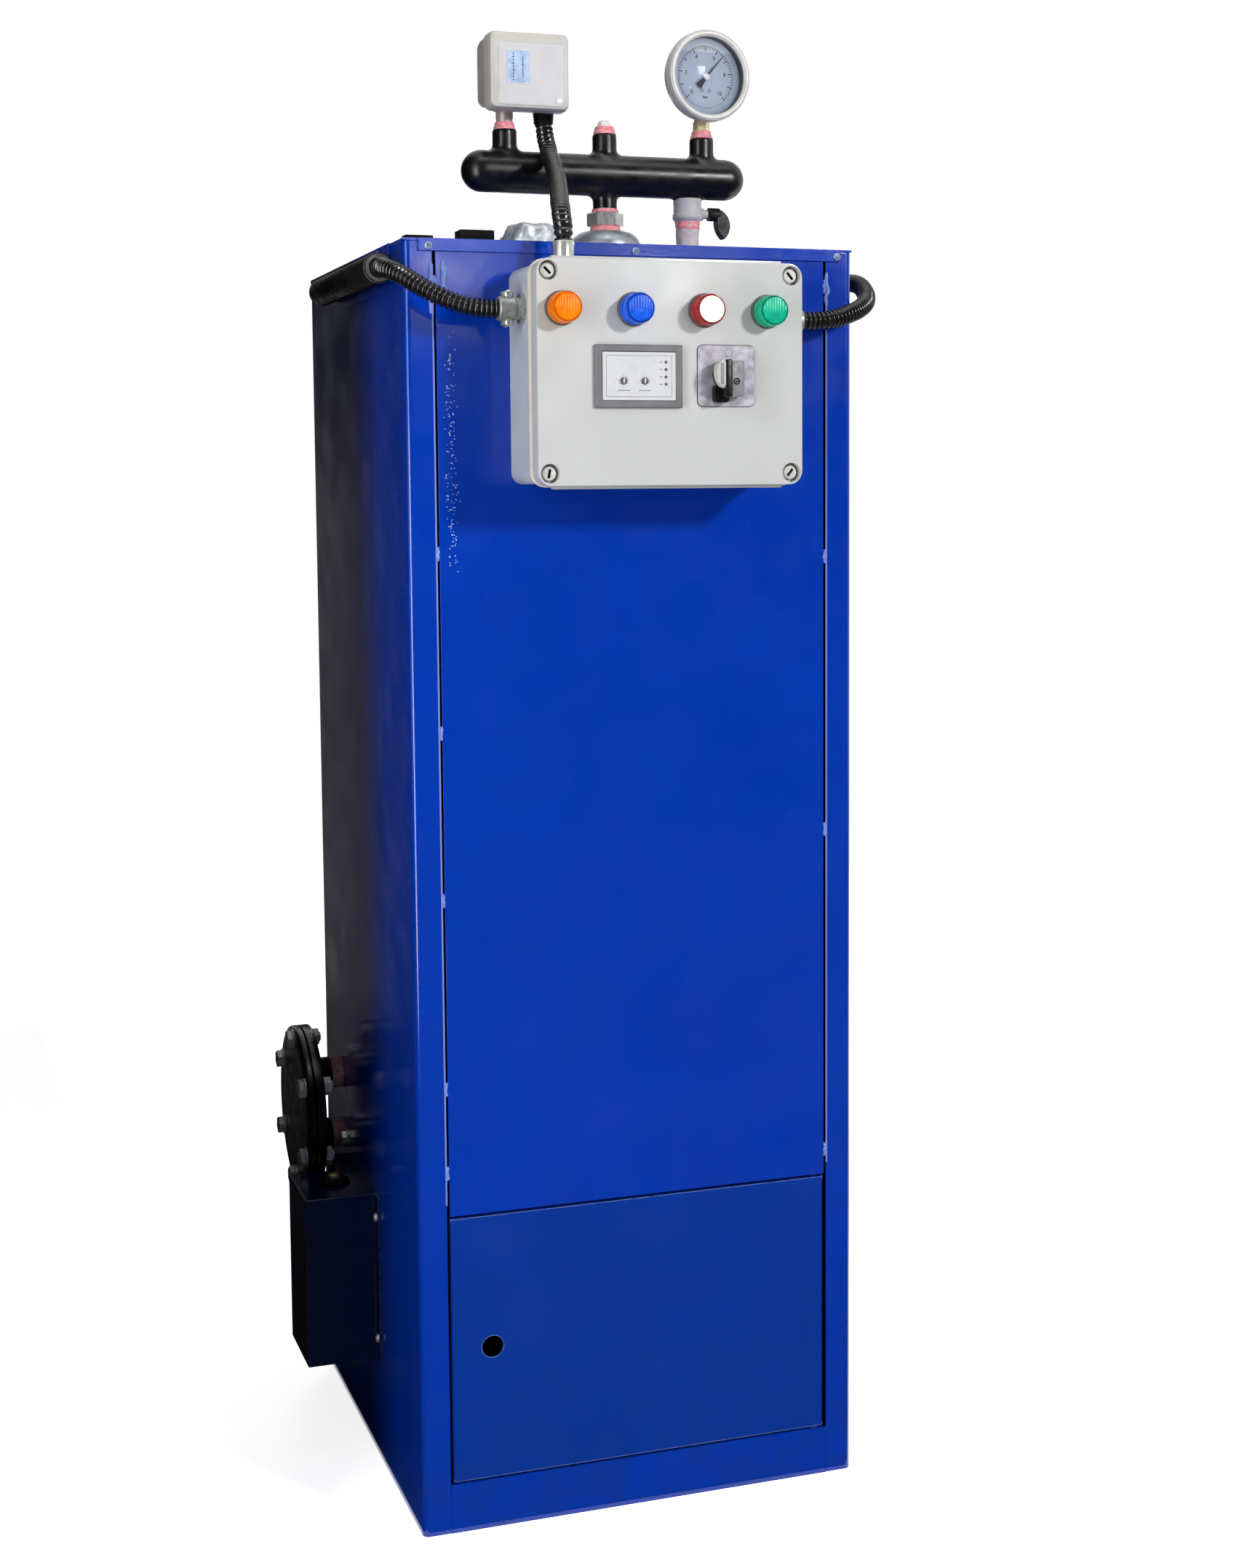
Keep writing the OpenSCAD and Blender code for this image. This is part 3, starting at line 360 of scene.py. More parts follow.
class Finish:
    """A material under construction: its shader and the textures that feed it."""

    def __init__(self, name, color, roughness, metallic=0.0, specular=0.5):
        self.material = bpy.data.materials.new(name)
        self.material.use_nodes = True
        self.material.diffuse_color = (*color, 1)
        self.tree = self.material.node_tree
        self.shader = self.tree.nodes["Principled BSDF"]
        self.color = color
        set_inputs(self.shader, {
            "Metallic": metallic, "Specular IOR Level": specular, "Roughness": roughness,
            "Base Color": (*color, 1)})
        self.place = self.tree.nodes.new("ShaderNodeTexCoord").outputs["Object"]
        self.tint = None
        self.normal = None

    def join(self, start, end):
        self.tree.links.new(start, end)

    def noise(self, size, detail=4.0, stretch=(1, 1, 1), contrast=(0.35, 0.65)):
        """Noise from 0 to 1 with spots of a size in millimetres, stretched along the axes."""
        mapping = self.tree.nodes.new("ShaderNodeMapping")
        mapping.inputs["Scale"].default_value = [1 / (size * MM * part) for part in stretch]
        self.join(self.place, mapping.inputs["Vector"])
        texture = self.tree.nodes.new("ShaderNodeTexNoise")
        set_inputs(texture, {"Scale": 1.0, "Detail": detail})
        self.join(mapping.outputs["Vector"], texture.inputs["Vector"])
        return self.between(texture.outputs["Fac"], *contrast)

    def cells(self, size, feature="F1"):
        """Cell noise with cells of a size in millimetres."""
        texture = self.tree.nodes.new("ShaderNodeTexVoronoi")
        texture.feature = feature
        texture.inputs["Scale"].default_value = 1 / (size * MM)
        self.join(self.place, texture.inputs["Vector"])
        return texture.outputs["Distance"]

    def between(self, source, start, end, low=0.0, high=1.0):
        node = self.tree.nodes.new("ShaderNodeMapRange")
        set_inputs(node, {"From Min": start, "From Max": end, "To Min": low, "To Max": high})
        self.join(source, node.inputs["Value"])
        return node.outputs["Result"]

    def height(self, start, end):
        """A value that goes from 0 to 1 between two heights in millimetres."""
        split = self.tree.nodes.new("ShaderNodeSeparateXYZ")
        self.join(self.place, split.inputs["Vector"])
        return self.between(split.outputs["Z"], start * MM, end * MM)

    def product(self, first, second):
        node = self.tree.nodes.new("ShaderNodeMath")
        node.operation = "MULTIPLY"
        self.join(first, node.inputs[0])
        self.join(second, node.inputs[1])
        return node.outputs["Value"]

    def edges(self, radius=1.5):
        """A value that is 1 along outer edges, for a painted edge highlight."""
        bevel = self.tree.nodes.new("ShaderNodeBevel")
        bevel.samples = 4
        bevel.inputs["Radius"].default_value = radius * MM
        geometry = self.tree.nodes.new("ShaderNodeNewGeometry")
        turn = self.tree.nodes.new("ShaderNodeVectorMath")
        turn.operation = "DOT_PRODUCT"
        self.join(bevel.outputs["Normal"], turn.inputs[0])
        self.join(geometry.outputs["Normal"], turn.inputs[1])
        return self.between(turn.outputs["Value"], 0.98, 0.8)

    def paint(self, factor, color):
        """Blends another colour in by a factor."""
        node = self.tree.nodes.new("ShaderNodeMix")
        node.data_type = "RGBA"
        self.join(factor, node.inputs["Factor"])
        if self.tint is None:
            node.inputs["A"].default_value = (*self.color, 1)
        else:
            self.join(self.tint, node.inputs["A"])
        node.inputs["B"].default_value = (*color, 1)
        self.tint = node.outputs["Result"]
        self.join(self.tint, self.shader.inputs["Base Color"])
        return self

    def mottle(self, size, amount, detail=4.0, stretch=(1, 1, 1)):
        """Lets the colour drift lighter and darker in soft patches."""
        darker = [part * (1 - amount) for part in self.color]
        lighter = [min(part * (1 + amount) + 0.02 * amount, 1) for part in self.color]
        patches = self.noise(size, detail, stretch)
        self.paint(self.between(patches, 0.5, 0), darker)
        return self.paint(self.between(patches, 0.5, 1), lighter)

    def gloss(self, size, low, high, stretch=(1, 1, 1)):
        """Lets the roughness drift between two values."""
        patches = self.noise(size, 5.0, stretch)
        self.join(self.between(patches, 0, 1, low, high), self.shader.inputs["Roughness"])
        return self

    def relief(self, source, strength, depth):
        """Raises the surface by a texture, with a depth in millimetres."""
        node = self.tree.nodes.new("ShaderNodeBump")
        set_inputs(node, {"Strength": strength, "Distance": depth * MM})
        self.join(source, node.inputs["Height"])
        if self.normal is not None:
            self.join(self.normal, node.inputs["Normal"])
        self.normal = node.outputs["Normal"]
        self.join(self.normal, self.shader.inputs["Normal"])
        return self

    def coat(self, weight, roughness):
        set_inputs(self.shader, {"Coat Weight": weight, "Coat Roughness": roughness})
        return self


def sheet_paint(name, color, floor_tone, sheen=(0.1, 0.17), peel=0.1):
    """Gloss paint on sheet steel: orange peel, cloudy patches, paler vertical streaks that are a painted
    highlight, and a tone that grows darker towards the floor.
    """
    finish = Finish(name, color, 0.14, specular=0.5)
    finish.mottle(90, 0.04, 5.0)
    # Paler vertical streaks: a painted highlight, the glare on the orange peel.
    finish.paint(finish.product(finish.noise(14, 6.0, (1, 1, 2), (0.62, 0.8)), finish.noise(160, 2.0)),
                 (color[0], color[1] * 1.4, color[2] * 1.2))
    # Darker towards the floor, in patches.
    finish.paint(finish.product(finish.height(220, 0), finish.noise(24, 6.0, (1, 1, 1), (0.4, 0.9))), floor_tone)
    finish.gloss(38, *sheen)
    finish.relief(finish.noise(2.4, 2.0, contrast=(0, 1)), peel, 0.25)
    return finish


def plain(name, color, roughness, metallic=0.0, specular=0.5,
          spots=12, spread=0.12, grain=1.2, depth=0.05):
    """A finish with soft patches of colour and sheen and a fine grain."""
    finish = Finish(name, color, roughness, metallic, specular)
    finish.mottle(spots, spread)
    finish.gloss(spots * 0.6, roughness * 0.8, min(roughness * 1.25, 1))
    finish.relief(finish.noise(grain, 3.0, contrast=(0, 1)), 0.25, depth)
    return finish


def paint_edge_highlight(finish, radius, spots, contrast, color):
    """Paints a paler colour along outer edges, in spots of a size in millimetres: a painted edge highlight.
    """
    edge_highlight = finish.product(finish.edges(radius), finish.noise(spots, 5.0, contrast=contrast))
    finish.paint(edge_highlight, color)


def brushed(name, color, roughness, along=(1, 1, 12)):
    """Bare metal with fine scratches along one direction and dull spots."""
    finish = Finish(name, color, roughness, 0.6)
    finish.mottle(9, 0.14)
    finish.gloss(1.4, roughness * 0.75, roughness * 1.35, along)
    finish.relief(finish.noise(0.8, 2.0, along, (0, 1)), 0.15, 0.04)
    return finish


def spangled(name, color, roughness):
    """Galvanised steel with its pale and dull crystals."""
    finish = Finish(name, color, roughness, 0.85)
    finish.mottle(14, 0.18)
    finish.paint(finish.between(finish.cells(5), 0.2, 0.7, 0, 0.35), (0.42, 0.44, 0.45))
    finish.gloss(6, roughness * 0.8, roughness * 1.3)
    finish.relief(finish.noise(2.5, 4.0, contrast=(0, 1)), 0.2, 0.1)
    return finish


def lens(name, color, ribs=0.05):
    """Ribbed coloured plastic."""
    finish = Finish(name, color, 0.2, specular=0.12)
    finish.mottle(7, 0.2)
    finish.gloss(6, 0.16, 0.24)
    finish.relief(finish.noise(2.0, 1.0, (4, 1, 1), (0.2, 0.8)), ribs, 0.15)
    return finish


def crumpled_foil():
    finish = Finish("crumpled_foil", (0.66, 0.71, 0.73), 0.4, 0.5)
    finish.mottle(16, 0.2)
    finish.gloss(8, 0.28, 0.55)
    finish.relief(finish.cells(9, "DISTANCE_TO_EDGE"), 0.5, 1.2)
    finish.relief(finish.noise(4, 5.0, contrast=(0, 1)), 0.35, 0.6)
    return finish


def clear_glass():
    finish = Finish("clear_glass", (0.96, 0.98, 1.0), 0.02)
    set_inputs(finish.shader, {"Transmission Weight": 1.0, "IOR": 1.1})
    finish.gloss(30, 0.01, 0.05)
    return finish


def painted_glare_finish():
    """The pale glowing face of a signal lamp: a painted highlight for the glare on it."""
    finish = Finish("lamp_face_painted_glare", (0.95, 0.9, 0.78), 0.3)
    finish.mottle(9, 0.05)
    set_inputs(finish.shader, {"Emission Color": (1.0, 0.93, 0.8, 1), "Emission Strength": 0.75})
    return finish.coat(0.4, 0.1)


BLUE = (0.0, 0.035, 0.385)
FLOOR_TONE_BLUE = (0.004, 0.035, 0.24)
cabinet_paint = sheet_paint("cabinet_paint", BLUE, FLOOR_TONE_BLUE)
roof_paint = sheet_paint("roof_paint", (0.004, 0.045, 0.42), FLOOR_TONE_BLUE, peel=0.2)
door_paint = sheet_paint("door_paint", (0.001, 0.035, 0.3), FLOOR_TONE_BLUE)
# Paler door edges: a painted highlight along its folded edges.
paint_edge_highlight(door_paint, 1.8, 7, (0.25, 0.5), (0.2, 0.27, 0.5))
# Very dark navy for the pump box: painted shade, for the shade it stands in on the left side.
pump_paint = sheet_paint("pump_paint", (0.001, 0.008, 0.05), (0.004, 0.008, 0.03))
# Paler pump box edges: a painted edge highlight.
paint_edge_highlight(pump_paint, 1.6, 6, (0.3, 0.6), (0.08, 0.1, 0.2))
# Paler blue than the cabinet for weld runs, spatter and seam edges: a painted highlight.
weld_highlight_paint = sheet_paint("weld_highlight_paint", (0.2, 0.28, 0.66), FLOOR_TONE_BLUE, (0.06, 0.1))
spatter_highlight_paint = sheet_paint("spatter_highlight_paint", (0.3, 0.4, 0.75), FLOOR_TONE_BLUE, (0.06, 0.1))
boiler_steel = plain("boiler_steel", (0.09, 0.09, 0.09), 0.7, spots=40, grain=2, depth=0.2)
burner_iron = plain("burner_iron", (0.11, 0.1, 0.09), 0.8, 0.3, spots=20, grain=1.5, depth=0.3)
header_paint = plain(
    "header_paint", (0.0045, 0.0045, 0.005), 0.3, specular=0.4, spots=30, grain=9, depth=0.1)
flange_paint = plain(
    "flange_paint", (0.004, 0.004, 0.0045), 0.26, specular=0.4, spots=24, grain=6, depth=0.1)
galvanised = spangled("galvanised", (0.34, 0.37, 0.42), 0.45)
bright_zinc = brushed("bright_zinc", (0.6, 0.6, 0.58), 0.28)
dull_zinc = plain("dull_zinc", (0.36, 0.38, 0.36), 0.5, 0.6, spots=5, spread=0.15)
valve_grey = plain("valve_grey", (0.54, 0.52, 0.54), 0.5, specular=0.3, spots=8, spread=0.08)
riser_metal = plain("riser_metal", (0.5, 0.44, 0.41), 0.4, 0.3, spots=6, spread=0.15)
plug_white = plain("plug_white", (0.8, 0.8, 0.79), 0.25, spots=4, spread=0.1)
tape_pink = plain(
    "tape_pink", (0.9, 0.32, 0.35), 0.65, specular=0.2, spots=4, spread=0.2, grain=1.0, depth=0.25)
tape_pink.paint(tape_pink.noise(5, 4.0, (1, 1, 0.3), (0.55, 0.75)), (0.9, 0.66, 0.68))
# A darker pink than tape_pink, for the tape on the chamber pipes: painted shade of the left side.
shaded_pipe_tape = plain(
    "shaded_pipe_tape", (0.42, 0.22, 0.24), 0.7, specular=0.2, spots=5, spread=0.25, grain=1.0, depth=0.25)
tail_wrap = plain(
    "tail_wrap", (0.6, 0.53, 0.55), 0.55, specular=0.2, spots=6, spread=0.12, grain=1.2, depth=0.2)
foil = crumpled_foil()
switch_grey = plain("switch_grey", (0.56, 0.56, 0.57), 0.35, spots=25, spread=0.03, depth=0.02)
switch_white = plain("switch_white", (0.64, 0.64, 0.65), 0.3, spots=25, spread=0.03, depth=0.02)
switch_beige = plain("switch_beige", (0.41, 0.39, 0.335), 0.45, specular=0.3, spots=30, spread=0.06)
switch_rim = plain("switch_rim", (0.6, 0.585, 0.535), 0.35, spots=25, spread=0.03, depth=0.02)
window_blue = plain("window_blue", (0.42, 0.55, 0.8), 0.2, spots=8, spread=0.2, grain=3, depth=0.02)
mark_blue = plain("mark_blue", (0.06, 0.13, 0.25), 0.4, spots=3, spread=0.2)
rivet_blue = plain("rivet_blue", (0.34, 0.42, 0.62), 0.3, 0.3, spots=3, spread=0.2)
brass = brushed("brass", (0.7, 0.52, 0.24), 0.3)
pale_brass = brushed("pale_brass", (0.84, 0.72, 0.45), 0.35)
gauge_steel = brushed("gauge_steel", (0.66, 0.65, 0.63), 0.2)
rim_pale = plain("rim_pale", (0.63, 0.625, 0.61), 0.4, 0.1, specular=0.4, spots=12, spread=0.06)
dial_face = plain(
    "dial_face", (0.42, 0.47, 0.58), 0.4, specular=0.2, spots=30, spread=0.06, grain=2, depth=0.01)
dial_ink = plain("dial_ink", (0.02, 0.025, 0.05), 0.5, spots=3, spread=0.2)
dial_wall_painted_shade = plain("dial_wall_painted_shade", (0.05, 0.055, 0.07), 0.4, spots=6, spread=0.2)
glass = clear_glass()
grip_black = plain(
    "grip_black", (0.01, 0.01, 0.009), 0.4, specular=0.2, spots=8, spread=0.3, grain=0.9, depth=0.08)
box_grey = plain("box_grey", (0.57, 0.58, 0.575), 0.13, specular=0.4, spots=60, spread=0.03, grain=5)
box_side = plain("box_side", (0.56, 0.58, 0.6), 0.4, specular=0.35, spots=60, spread=0.04)
seal_cream = plain("seal_cream", (0.74, 0.72, 0.58), 0.5, spots=10, spread=0.05)
screw_pale = plain("screw_pale", (0.6, 0.6, 0.56), 0.35, spots=4, spread=0.12, grain=0.7, depth=0.05)
screw_slot_painted_shade = plain("screw_slot_painted_shade", (0.03, 0.03, 0.03), 0.6, specular=0.2, spots=5, spread=0.2)
collar_dark = plain("collar_dark", (0.12, 0.115, 0.11), 0.4, specular=0.3, spots=6, spread=0.15)
# Each lens has a darker copy of its colour, for the ring between face and side: painted shade.
lens_orange = lens("lens_orange", (1.0, 0.22, 0.0))
orange_painted_shade = lens("orange_painted_shade", (0.6, 0.08, 0.001))
lens_blue = lens("lens_blue", (0.01, 0.11, 0.78), 0.5)
blue_painted_shade = lens("blue_painted_shade", (0.004, 0.03, 0.3))
lens_red = lens("lens_red", (0.42, 0.03, 0.03))
red_painted_shade = lens("red_painted_shade", (0.2, 0.02, 0.02))
lens_green = lens("lens_green", (0.004, 0.45, 0.27))
green_painted_shade = lens("green_painted_shade", (0.002, 0.16, 0.1))
# The red lamp's face: pale and glowing, a painted highlight.
painted_glare_face = painted_glare_finish()
relay_dark = plain("relay_dark", (0.14, 0.14, 0.152), 0.45, spots=20, spread=0.12)
relay_panel = plain("relay_panel", (0.62, 0.63, 0.65), 0.3, spots=30, spread=0.02, depth=0.01)
relay_ink = plain("relay_ink", (0.1, 0.1, 0.11), 0.5, spots=3, spread=0.2)
plate_metal = plain("plate_metal", (0.45, 0.43, 0.5), 0.5, 0.0, 0.2, spots=9, spread=0.3, grain=3)
plate_block = plain("plate_block", (0.24, 0.24, 0.255), 0.4, specular=0.3, spots=8, spread=0.1)
knob_black = plain(
    "knob_black", (0.008, 0.008, 0.008), 0.35, specular=0.2, spots=8, spread=0.2, depth=0.04)
knob_pale = plain("knob_pale", (0.54, 0.54, 0.48), 0.4, specular=0.3, spots=8, spread=0.06)
conduit_black = plain("conduit_black", (0.009, 0.0088, 0.0085), 0.2, specular=0.7, spots=10, spread=0.3)
black_rubber = plain("black_rubber", (0.006, 0.006, 0.006), 0.5, specular=0.06, spots=12, spread=0.3)
bolt_zinc = plain("bolt_zinc", (0.6, 0.61, 0.61), 0.35, 0.4, spots=4, spread=0.15)

# Conduits, from points listed along each
CONDUIT_D = 17
RIB_PITCH = 4.4
LONG_RIB_PITCH = 6.6
RIB_DEPTH = 2.4
ROUTES = {
    "left_conduit": [
        (-138, -250, 1093), (-148, -250, 1093), (-160, -250, 1094), (-172, -248, 1097), (-184, -244, 1102),
        (-195, -238, 1108), (-205, -230, 1115), (-213, -220, 1122), (-219, -209, 1127), (-223, -197, 1130),
        (-224, -188, 1132), (-224, -180, 1132), (-224, -172, 1132)],
    "right_conduit": [
        (142, -250, 1087), (153, -250, 1087), (167, -249, 1088), (181, -245, 1091), (194, -239, 1095),
        (206, -230, 1099), (217, -219, 1104), (226, -206, 1109), (233, -192, 1115), (238, -177, 1121),
        (241, -162, 1127), (241, -148, 1131), (238, -136, 1132), (233, -127, 1131), (226, -120, 1130),
        (219, -116, 1130)],
    "switch_conduit": [
        (-20, 0, 1300), (-20, 0, 1292), (-20, -4, 1283), (-21, -11, 1274), (-22, -21, 1265),
        (-25, -35, 1256), (-28, -52, 1248), (-32, -72, 1239), (-37, -93, 1230), (-42, -115, 1222),
        (-48, -137, 1213), (-54, -159, 1204), (-60, -180, 1196), (-66, -200, 1189), (-70, -216, 1183),
        (-74, -230, 1176), (-76, -240, 1168), (-77, -245, 1160), (-77, -245, 1152)],
}


def make_conduits():
    samples = 8
    for name, points in ROUTES.items():
        pitch = LONG_RIB_PITCH if name == "switch_conduit" else RIB_PITCH
        path, length = smooth_route(points, pitch / samples)
        turns = [2 * math.pi * (index % samples) / samples for index in range(len(path))]
        waves = [0.5 - 0.5 * math.cos(turn) for turn in turns]
        radii = [CONDUIT_D / 2 - RIB_DEPTH * (1 - wave ** 0.6) for wave in waves]
        shape = Shape()
        shape.tube(path, radii, 24)
        piece = add_piece(
            name + "_ribbed", shape, [conduit_black], replaced=[name], sharp_angle=60)


make_conduits()


# Cabinet: its sheet steel keeps the CAD shape
SEAM_BEAD_D = 3.2
LEFT_BEAD_SHARES = (0.04, 0.13, 0.33, 0.505, 0.69, 0.965)
RIGHT_BEAD_SHARES = (0.02, 0.38, 0.68, 0.97)
BEAD_LENGTH = 12
SEAM_GAP = 1.2
SPATTER_COUNT = 170
SPATTER_SPREAD = 9
SPATTER_RUN = 190
SEAM_HIGHLIGHT_R = 0.8
RIVET_D = 7
RIVET_PLACES = (-188, 0, 194)
SIDE_RIVET_PLACES = (-120, 60, 180)


def dress_cabinet():
    dress(["left_panel", "right_panel", "back_panel", "front_panel", "front_rail"], cabinet_paint, 0.8)
    dress(["roof"], roof_paint, 0.6)
    dress(["access_door"], door_paint, 1.2)
    dress(["base_plate", "drum_shell", "drum_top_head", "drum_bottom_head", "drum_legs"], boiler_steel, 0.6)
    dress(["burner"], burner_iron, 0.8)


def add_bead(shape, place, length, width, seed):
    """A short uneven run of weld along a seam."""
    path = []
    radii = []
    steps = 18
    for index in range(steps + 1):
        share = index / steps
        wander = noise.noise(Vector((seed * 7.3, share * 4, 0.5)))
        swell = noise.noise(Vector((seed * 3.1, share * 7, 2.5)))
        path.append(place + Z * length * (share - 0.5) + X * wander * width * 0.35)
        radii.append(width * (0.32 + 0.2 * swell + 0.2 * math.sin(math.pi * share)))
    shape.tube(path, radii, 10)


def make_weld_beads():
    low, high = node_box("front_panel")
    seam_left = node_box("left_panel")[1].x + SEAM_GAP
    seam_right = node_box("right_panel")[0].x - SEAM_GAP
    top = high.z
    room = top - low.z - BEAD_LENGTH
    shape = Shape()
    for x, shares in ((seam_left, LEFT_BEAD_SHARES), (seam_right, RIGHT_BEAD_SHARES)):
        for seed, share in enumerate(shares):
            middle = Vector((x, low.y + 0.4, low.z + share * room + BEAD_LENGTH / 2))
            add_bead(shape, middle, BEAD_LENGTH, SEAM_BEAD_D, seed + x)
    runs = ((seam_left - 3, 40, 44), (seam_left + 8, 30, 26), (seam_right + 2, 34, 30))
    for seed, (x, drop, length) in enumerate(runs):
        add_bead(shape, Vector((x, low.y - 0.2, top - drop)), length, SEAM_BEAD_D * 1.3, seed + 0.4)
    for index in range(SPATTER_COUNT):
        across = SPATTER_SPREAD * noise.noise(Vector((index * 1.7, 0.3, 0.5)))
        jump = 30 * noise.noise(Vector((0.2, index * 2.3, 0.7)))
        height = top - 90 - SPATTER_RUN * index / SPATTER_COUNT + jump
        size = 0.55 + 0.5 * noise.noise(Vector((0.4, 0.9, index * 1.9)))
        spot = (seam_left + 13 + across, low.y - 0.1, height)
        drop = [(size, 0), (size * 0.8, size * 0.4), (size * 0.3, size * 0.6)]
        shape.turned(drop, spot, FRONT, 8, slot=1)
    # Thin pale rods along the seam edges: a painted highlight on the panel edges.
    foot = node_box("access_door")[1].z + 6
    for edge in (seam_left - 1.6, seam_right + 1.6):
        line = [Vector((edge, low.y - 0.1, height)) for height in (foot, (foot + top) / 2, top - 20)]
        shape.tube(line, [SEAM_HIGHLIGHT_R] * 3, 10)
    add_piece("weld_beads", shape, [weld_highlight_paint, spatter_highlight_paint])


def make_rivets():
    low, high = node_box("roof")
    radius = RIVET_D / 2
    height = (low.z + high.z) / 2 - 1
    dome = [(radius, 0), (radius, 0.5), (radius * 0.85, 1.3), (radius * 0.6, 1.7), (radius * 0.55, 0.9)]
    pin = [(radius * 0.55, 0.4), (radius * 0.55, 1.0), (radius * 0.3, 1.1)]
    spots = [((x, low.y, height), FRONT) for x in RIVET_PLACES]
    for y in SIDE_RIVET_PLACES:
        spots.extend([((low.x, y, height), -X), ((high.x, y, height), X)])
    shape = Shape()
    for spot, out in spots:
        shape.turned(dome, spot, out, 24)
        shape.turned(pin, spot, out, 24, slot=1)
    add_piece("rivets", shape, [rivet_blue, mark_blue])


dress_cabinet()
make_weld_beads()
make_rivets()


# Control box
LID_BEADS = (2.4, 6.6)
BEAD_R = 0.9
LIP = (4, 9)
LIP_INSET = 16
SCREW_INSET = 10.5
WELL_D = 16.4
WELL_DEPTH = 9
SCREW_D = 12
SCREW_SINK = 3.4
SCREW_SLOT = (8, 2.4)
LID_CORNER_R = 12
SCREW_TURNS = {(-1, 1): 135, (1, 1): 130, (-1, -1): 80, (1, -1): 52}


def circle(place, radius, right=X, up=Z, sides=36):
    angles = [2 * math.pi * k / sides for k in range(sides)]
    return [place + radius * (math.cos(a) * right + math.sin(a) * up) for a in angles]


def add_screw(shape, face, turn):
    """A plastic screw with a slot that has closed ends, its face in a plane."""
    right = math.cos(turn) * X + math.sin(turn) * Z
    up = right.cross(FRONT)
    radius = SCREW_D / 2
    rings = ((radius, WELL_DEPTH - SCREW_SINK), (radius, 0.6), (radius - 0.6, 0), (radius - 0.9, 0))
    loops = [circle(face - FRONT * depth, size) for size, depth in rings]
    shape.loft(loops, ends=(True, False))
    slot = [face + right * a + up * b for a, b in rounded_loop(*SCREW_SLOT, 0.6, 2)]
    shape.pierced([loops[-1], slot])
    # A dark disc inside the screw, seen through the slot: painted shade.
    shape.turned([(radius - 0.3, -2.4), (radius - 0.3, -2)], face, FRONT, slot=1)


def make_lid():
    back, width, height, depth = node_block("control_box_lid")
    shape = Shape()
    loops = []
    edges = ((0.5, 0), (0, 0.5), (0, depth - 1.0), (0.25, depth - 0.35), (0.8, depth), (1.1, depth))
    for inset, distance in edges:
        outline = rounded_loop(width - 2 * inset, height - 2 * inset, LID_CORNER_R - inset)
        loops.append([back + X * a + Z * b + FRONT * distance for a, b in outline])
    shape.loft(loops, ends=(True, False))
    screws = Shape()
    holes = []
    rings = ((WELL_D / 2 + 0.3, 0), (WELL_D / 2, 0.4), (WELL_D / 2, WELL_DEPTH))
    for (side, top), turn in SCREW_TURNS.items():
        across = side * (width / 2 - SCREW_INSET)
        face = back + Vector((across, -depth, top * (height / 2 - SCREW_INSET)))
        well = [circle(face - FRONT * sink, size) for size, sink in rings]
        shape.loft(well, ends=(False, True))
        holes.append(well[0])
        add_screw(screws, face - FRONT * SCREW_SINK, math.radians(turn))
    shape.pierced([loops[-1], *holes])
    for distance in LID_BEADS:
        bead = []
        for angle in (-90, -45, 0, 45, 90):
            proud = BEAD_R * math.cos(math.radians(angle))
            bead.append((width + 2 * proud, height + 2 * proud, LID_CORNER_R + proud,
                         distance + BEAD_R * math.sin(math.radians(angle))))
        shape.plates(bead, back, slot=1)
    lip_h, lip_depth = LIP
    for top in (-1, 1):
        place = back + Z * top * (height / 2 + 0.6) + FRONT * LID_BEADS[1]
        shape.block(width - 2 * LIP_INSET, lip_h, lip_depth, 0.6, place)
    add_piece("box_lid", shape, [box_grey, seal_cream], replaced=["control_box_lid"])
    add_piece("box_lid_screws", screws, [screw_pale, screw_slot_painted_shade], replaced=["lid_screws"])


LAMPS = {
    "orange": [lens_orange, lens_orange, orange_painted_shade],
    "blue": [lens_blue, lens_blue, blue_painted_shade],
    "red": [lens_red, painted_glare_face, red_painted_shade],
    "green": [lens_green, lens_green, green_painted_shade]}
LENS_RIB_PITCH = 2.4


def make_lamps():
    collars = Shape()
    base_y = node_box("lamp_collars")[1].y
    for color, finishes in LAMPS.items():
        low, high = node_box("lamp_lens_" + color)
        radius = (high.x - low.x) / 2
        proud = base_y - low.y
        place = Vector(((low.x + high.x) / 2, base_y, (low.z + high.z) / 2))
        collar = [(radius + 1.6, 0), (radius + 1.6, 1.6), (radius + 0.9, 2.6), (radius - 0.5, 2.9)]
        collars.turned(collar, place, FRONT)
        shape = Shape()
        shape.turned([
            (radius, 2), (radius + 0.4, 4), (radius + 0.4, 8), (radius - 0.1, 8.6), (radius - 0.1, 9.6),
            (radius + 0.2, 10.2), (radius, proud - 2.2), (radius - 0.7, proud - 0.9),
            (radius - 1.8, proud - 0.5)], place, FRONT, 48)
        shape.turned([
            (radius - 1.6, proud - 1), (radius - 1.9, proud - 0.3), (radius * 0.7, proud - 0.1),
            (radius * 0.3, proud)], place, FRONT, 48, slot=1)
        for rib in range(-4, 5):
            across = rib * LENS_RIB_PITCH
            half = math.sqrt(max((radius - 2.5) ** 2 - across ** 2, 1))
            spot = place + X * across + FRONT * (proud - 0.25)
            shape.block(1.1, 2 * half, 0.35, 0.12, spot, slot=1)
        # Dark ring between the lens face and its side, in the darker copy of the lens colour: painted shade.
        shape.hoop([
            (radius - 2.2, proud - 1), (radius - 0.6, proud - 1.2), (radius - 0.9, proud - 0.4),
            (radius - 1.9, proud - 0.1)], place, FRONT, slot=2)
        name = "lamp_lens_" + color
        add_piece("lamp_" + color, shape, finishes, replaced=[name])
    add_piece("lamp_bases", collars, [collar_dark], replaced=["lamp_collars"])


RELAY_RIM = 6.2
RELAY_LINE = 0.12
RELAY_LAMP_STEP = 6.2
RELAY_DIALS = (-14, 5)
RELAY_DIAL_Z = -4
RELAY_TICK_R = 4.4


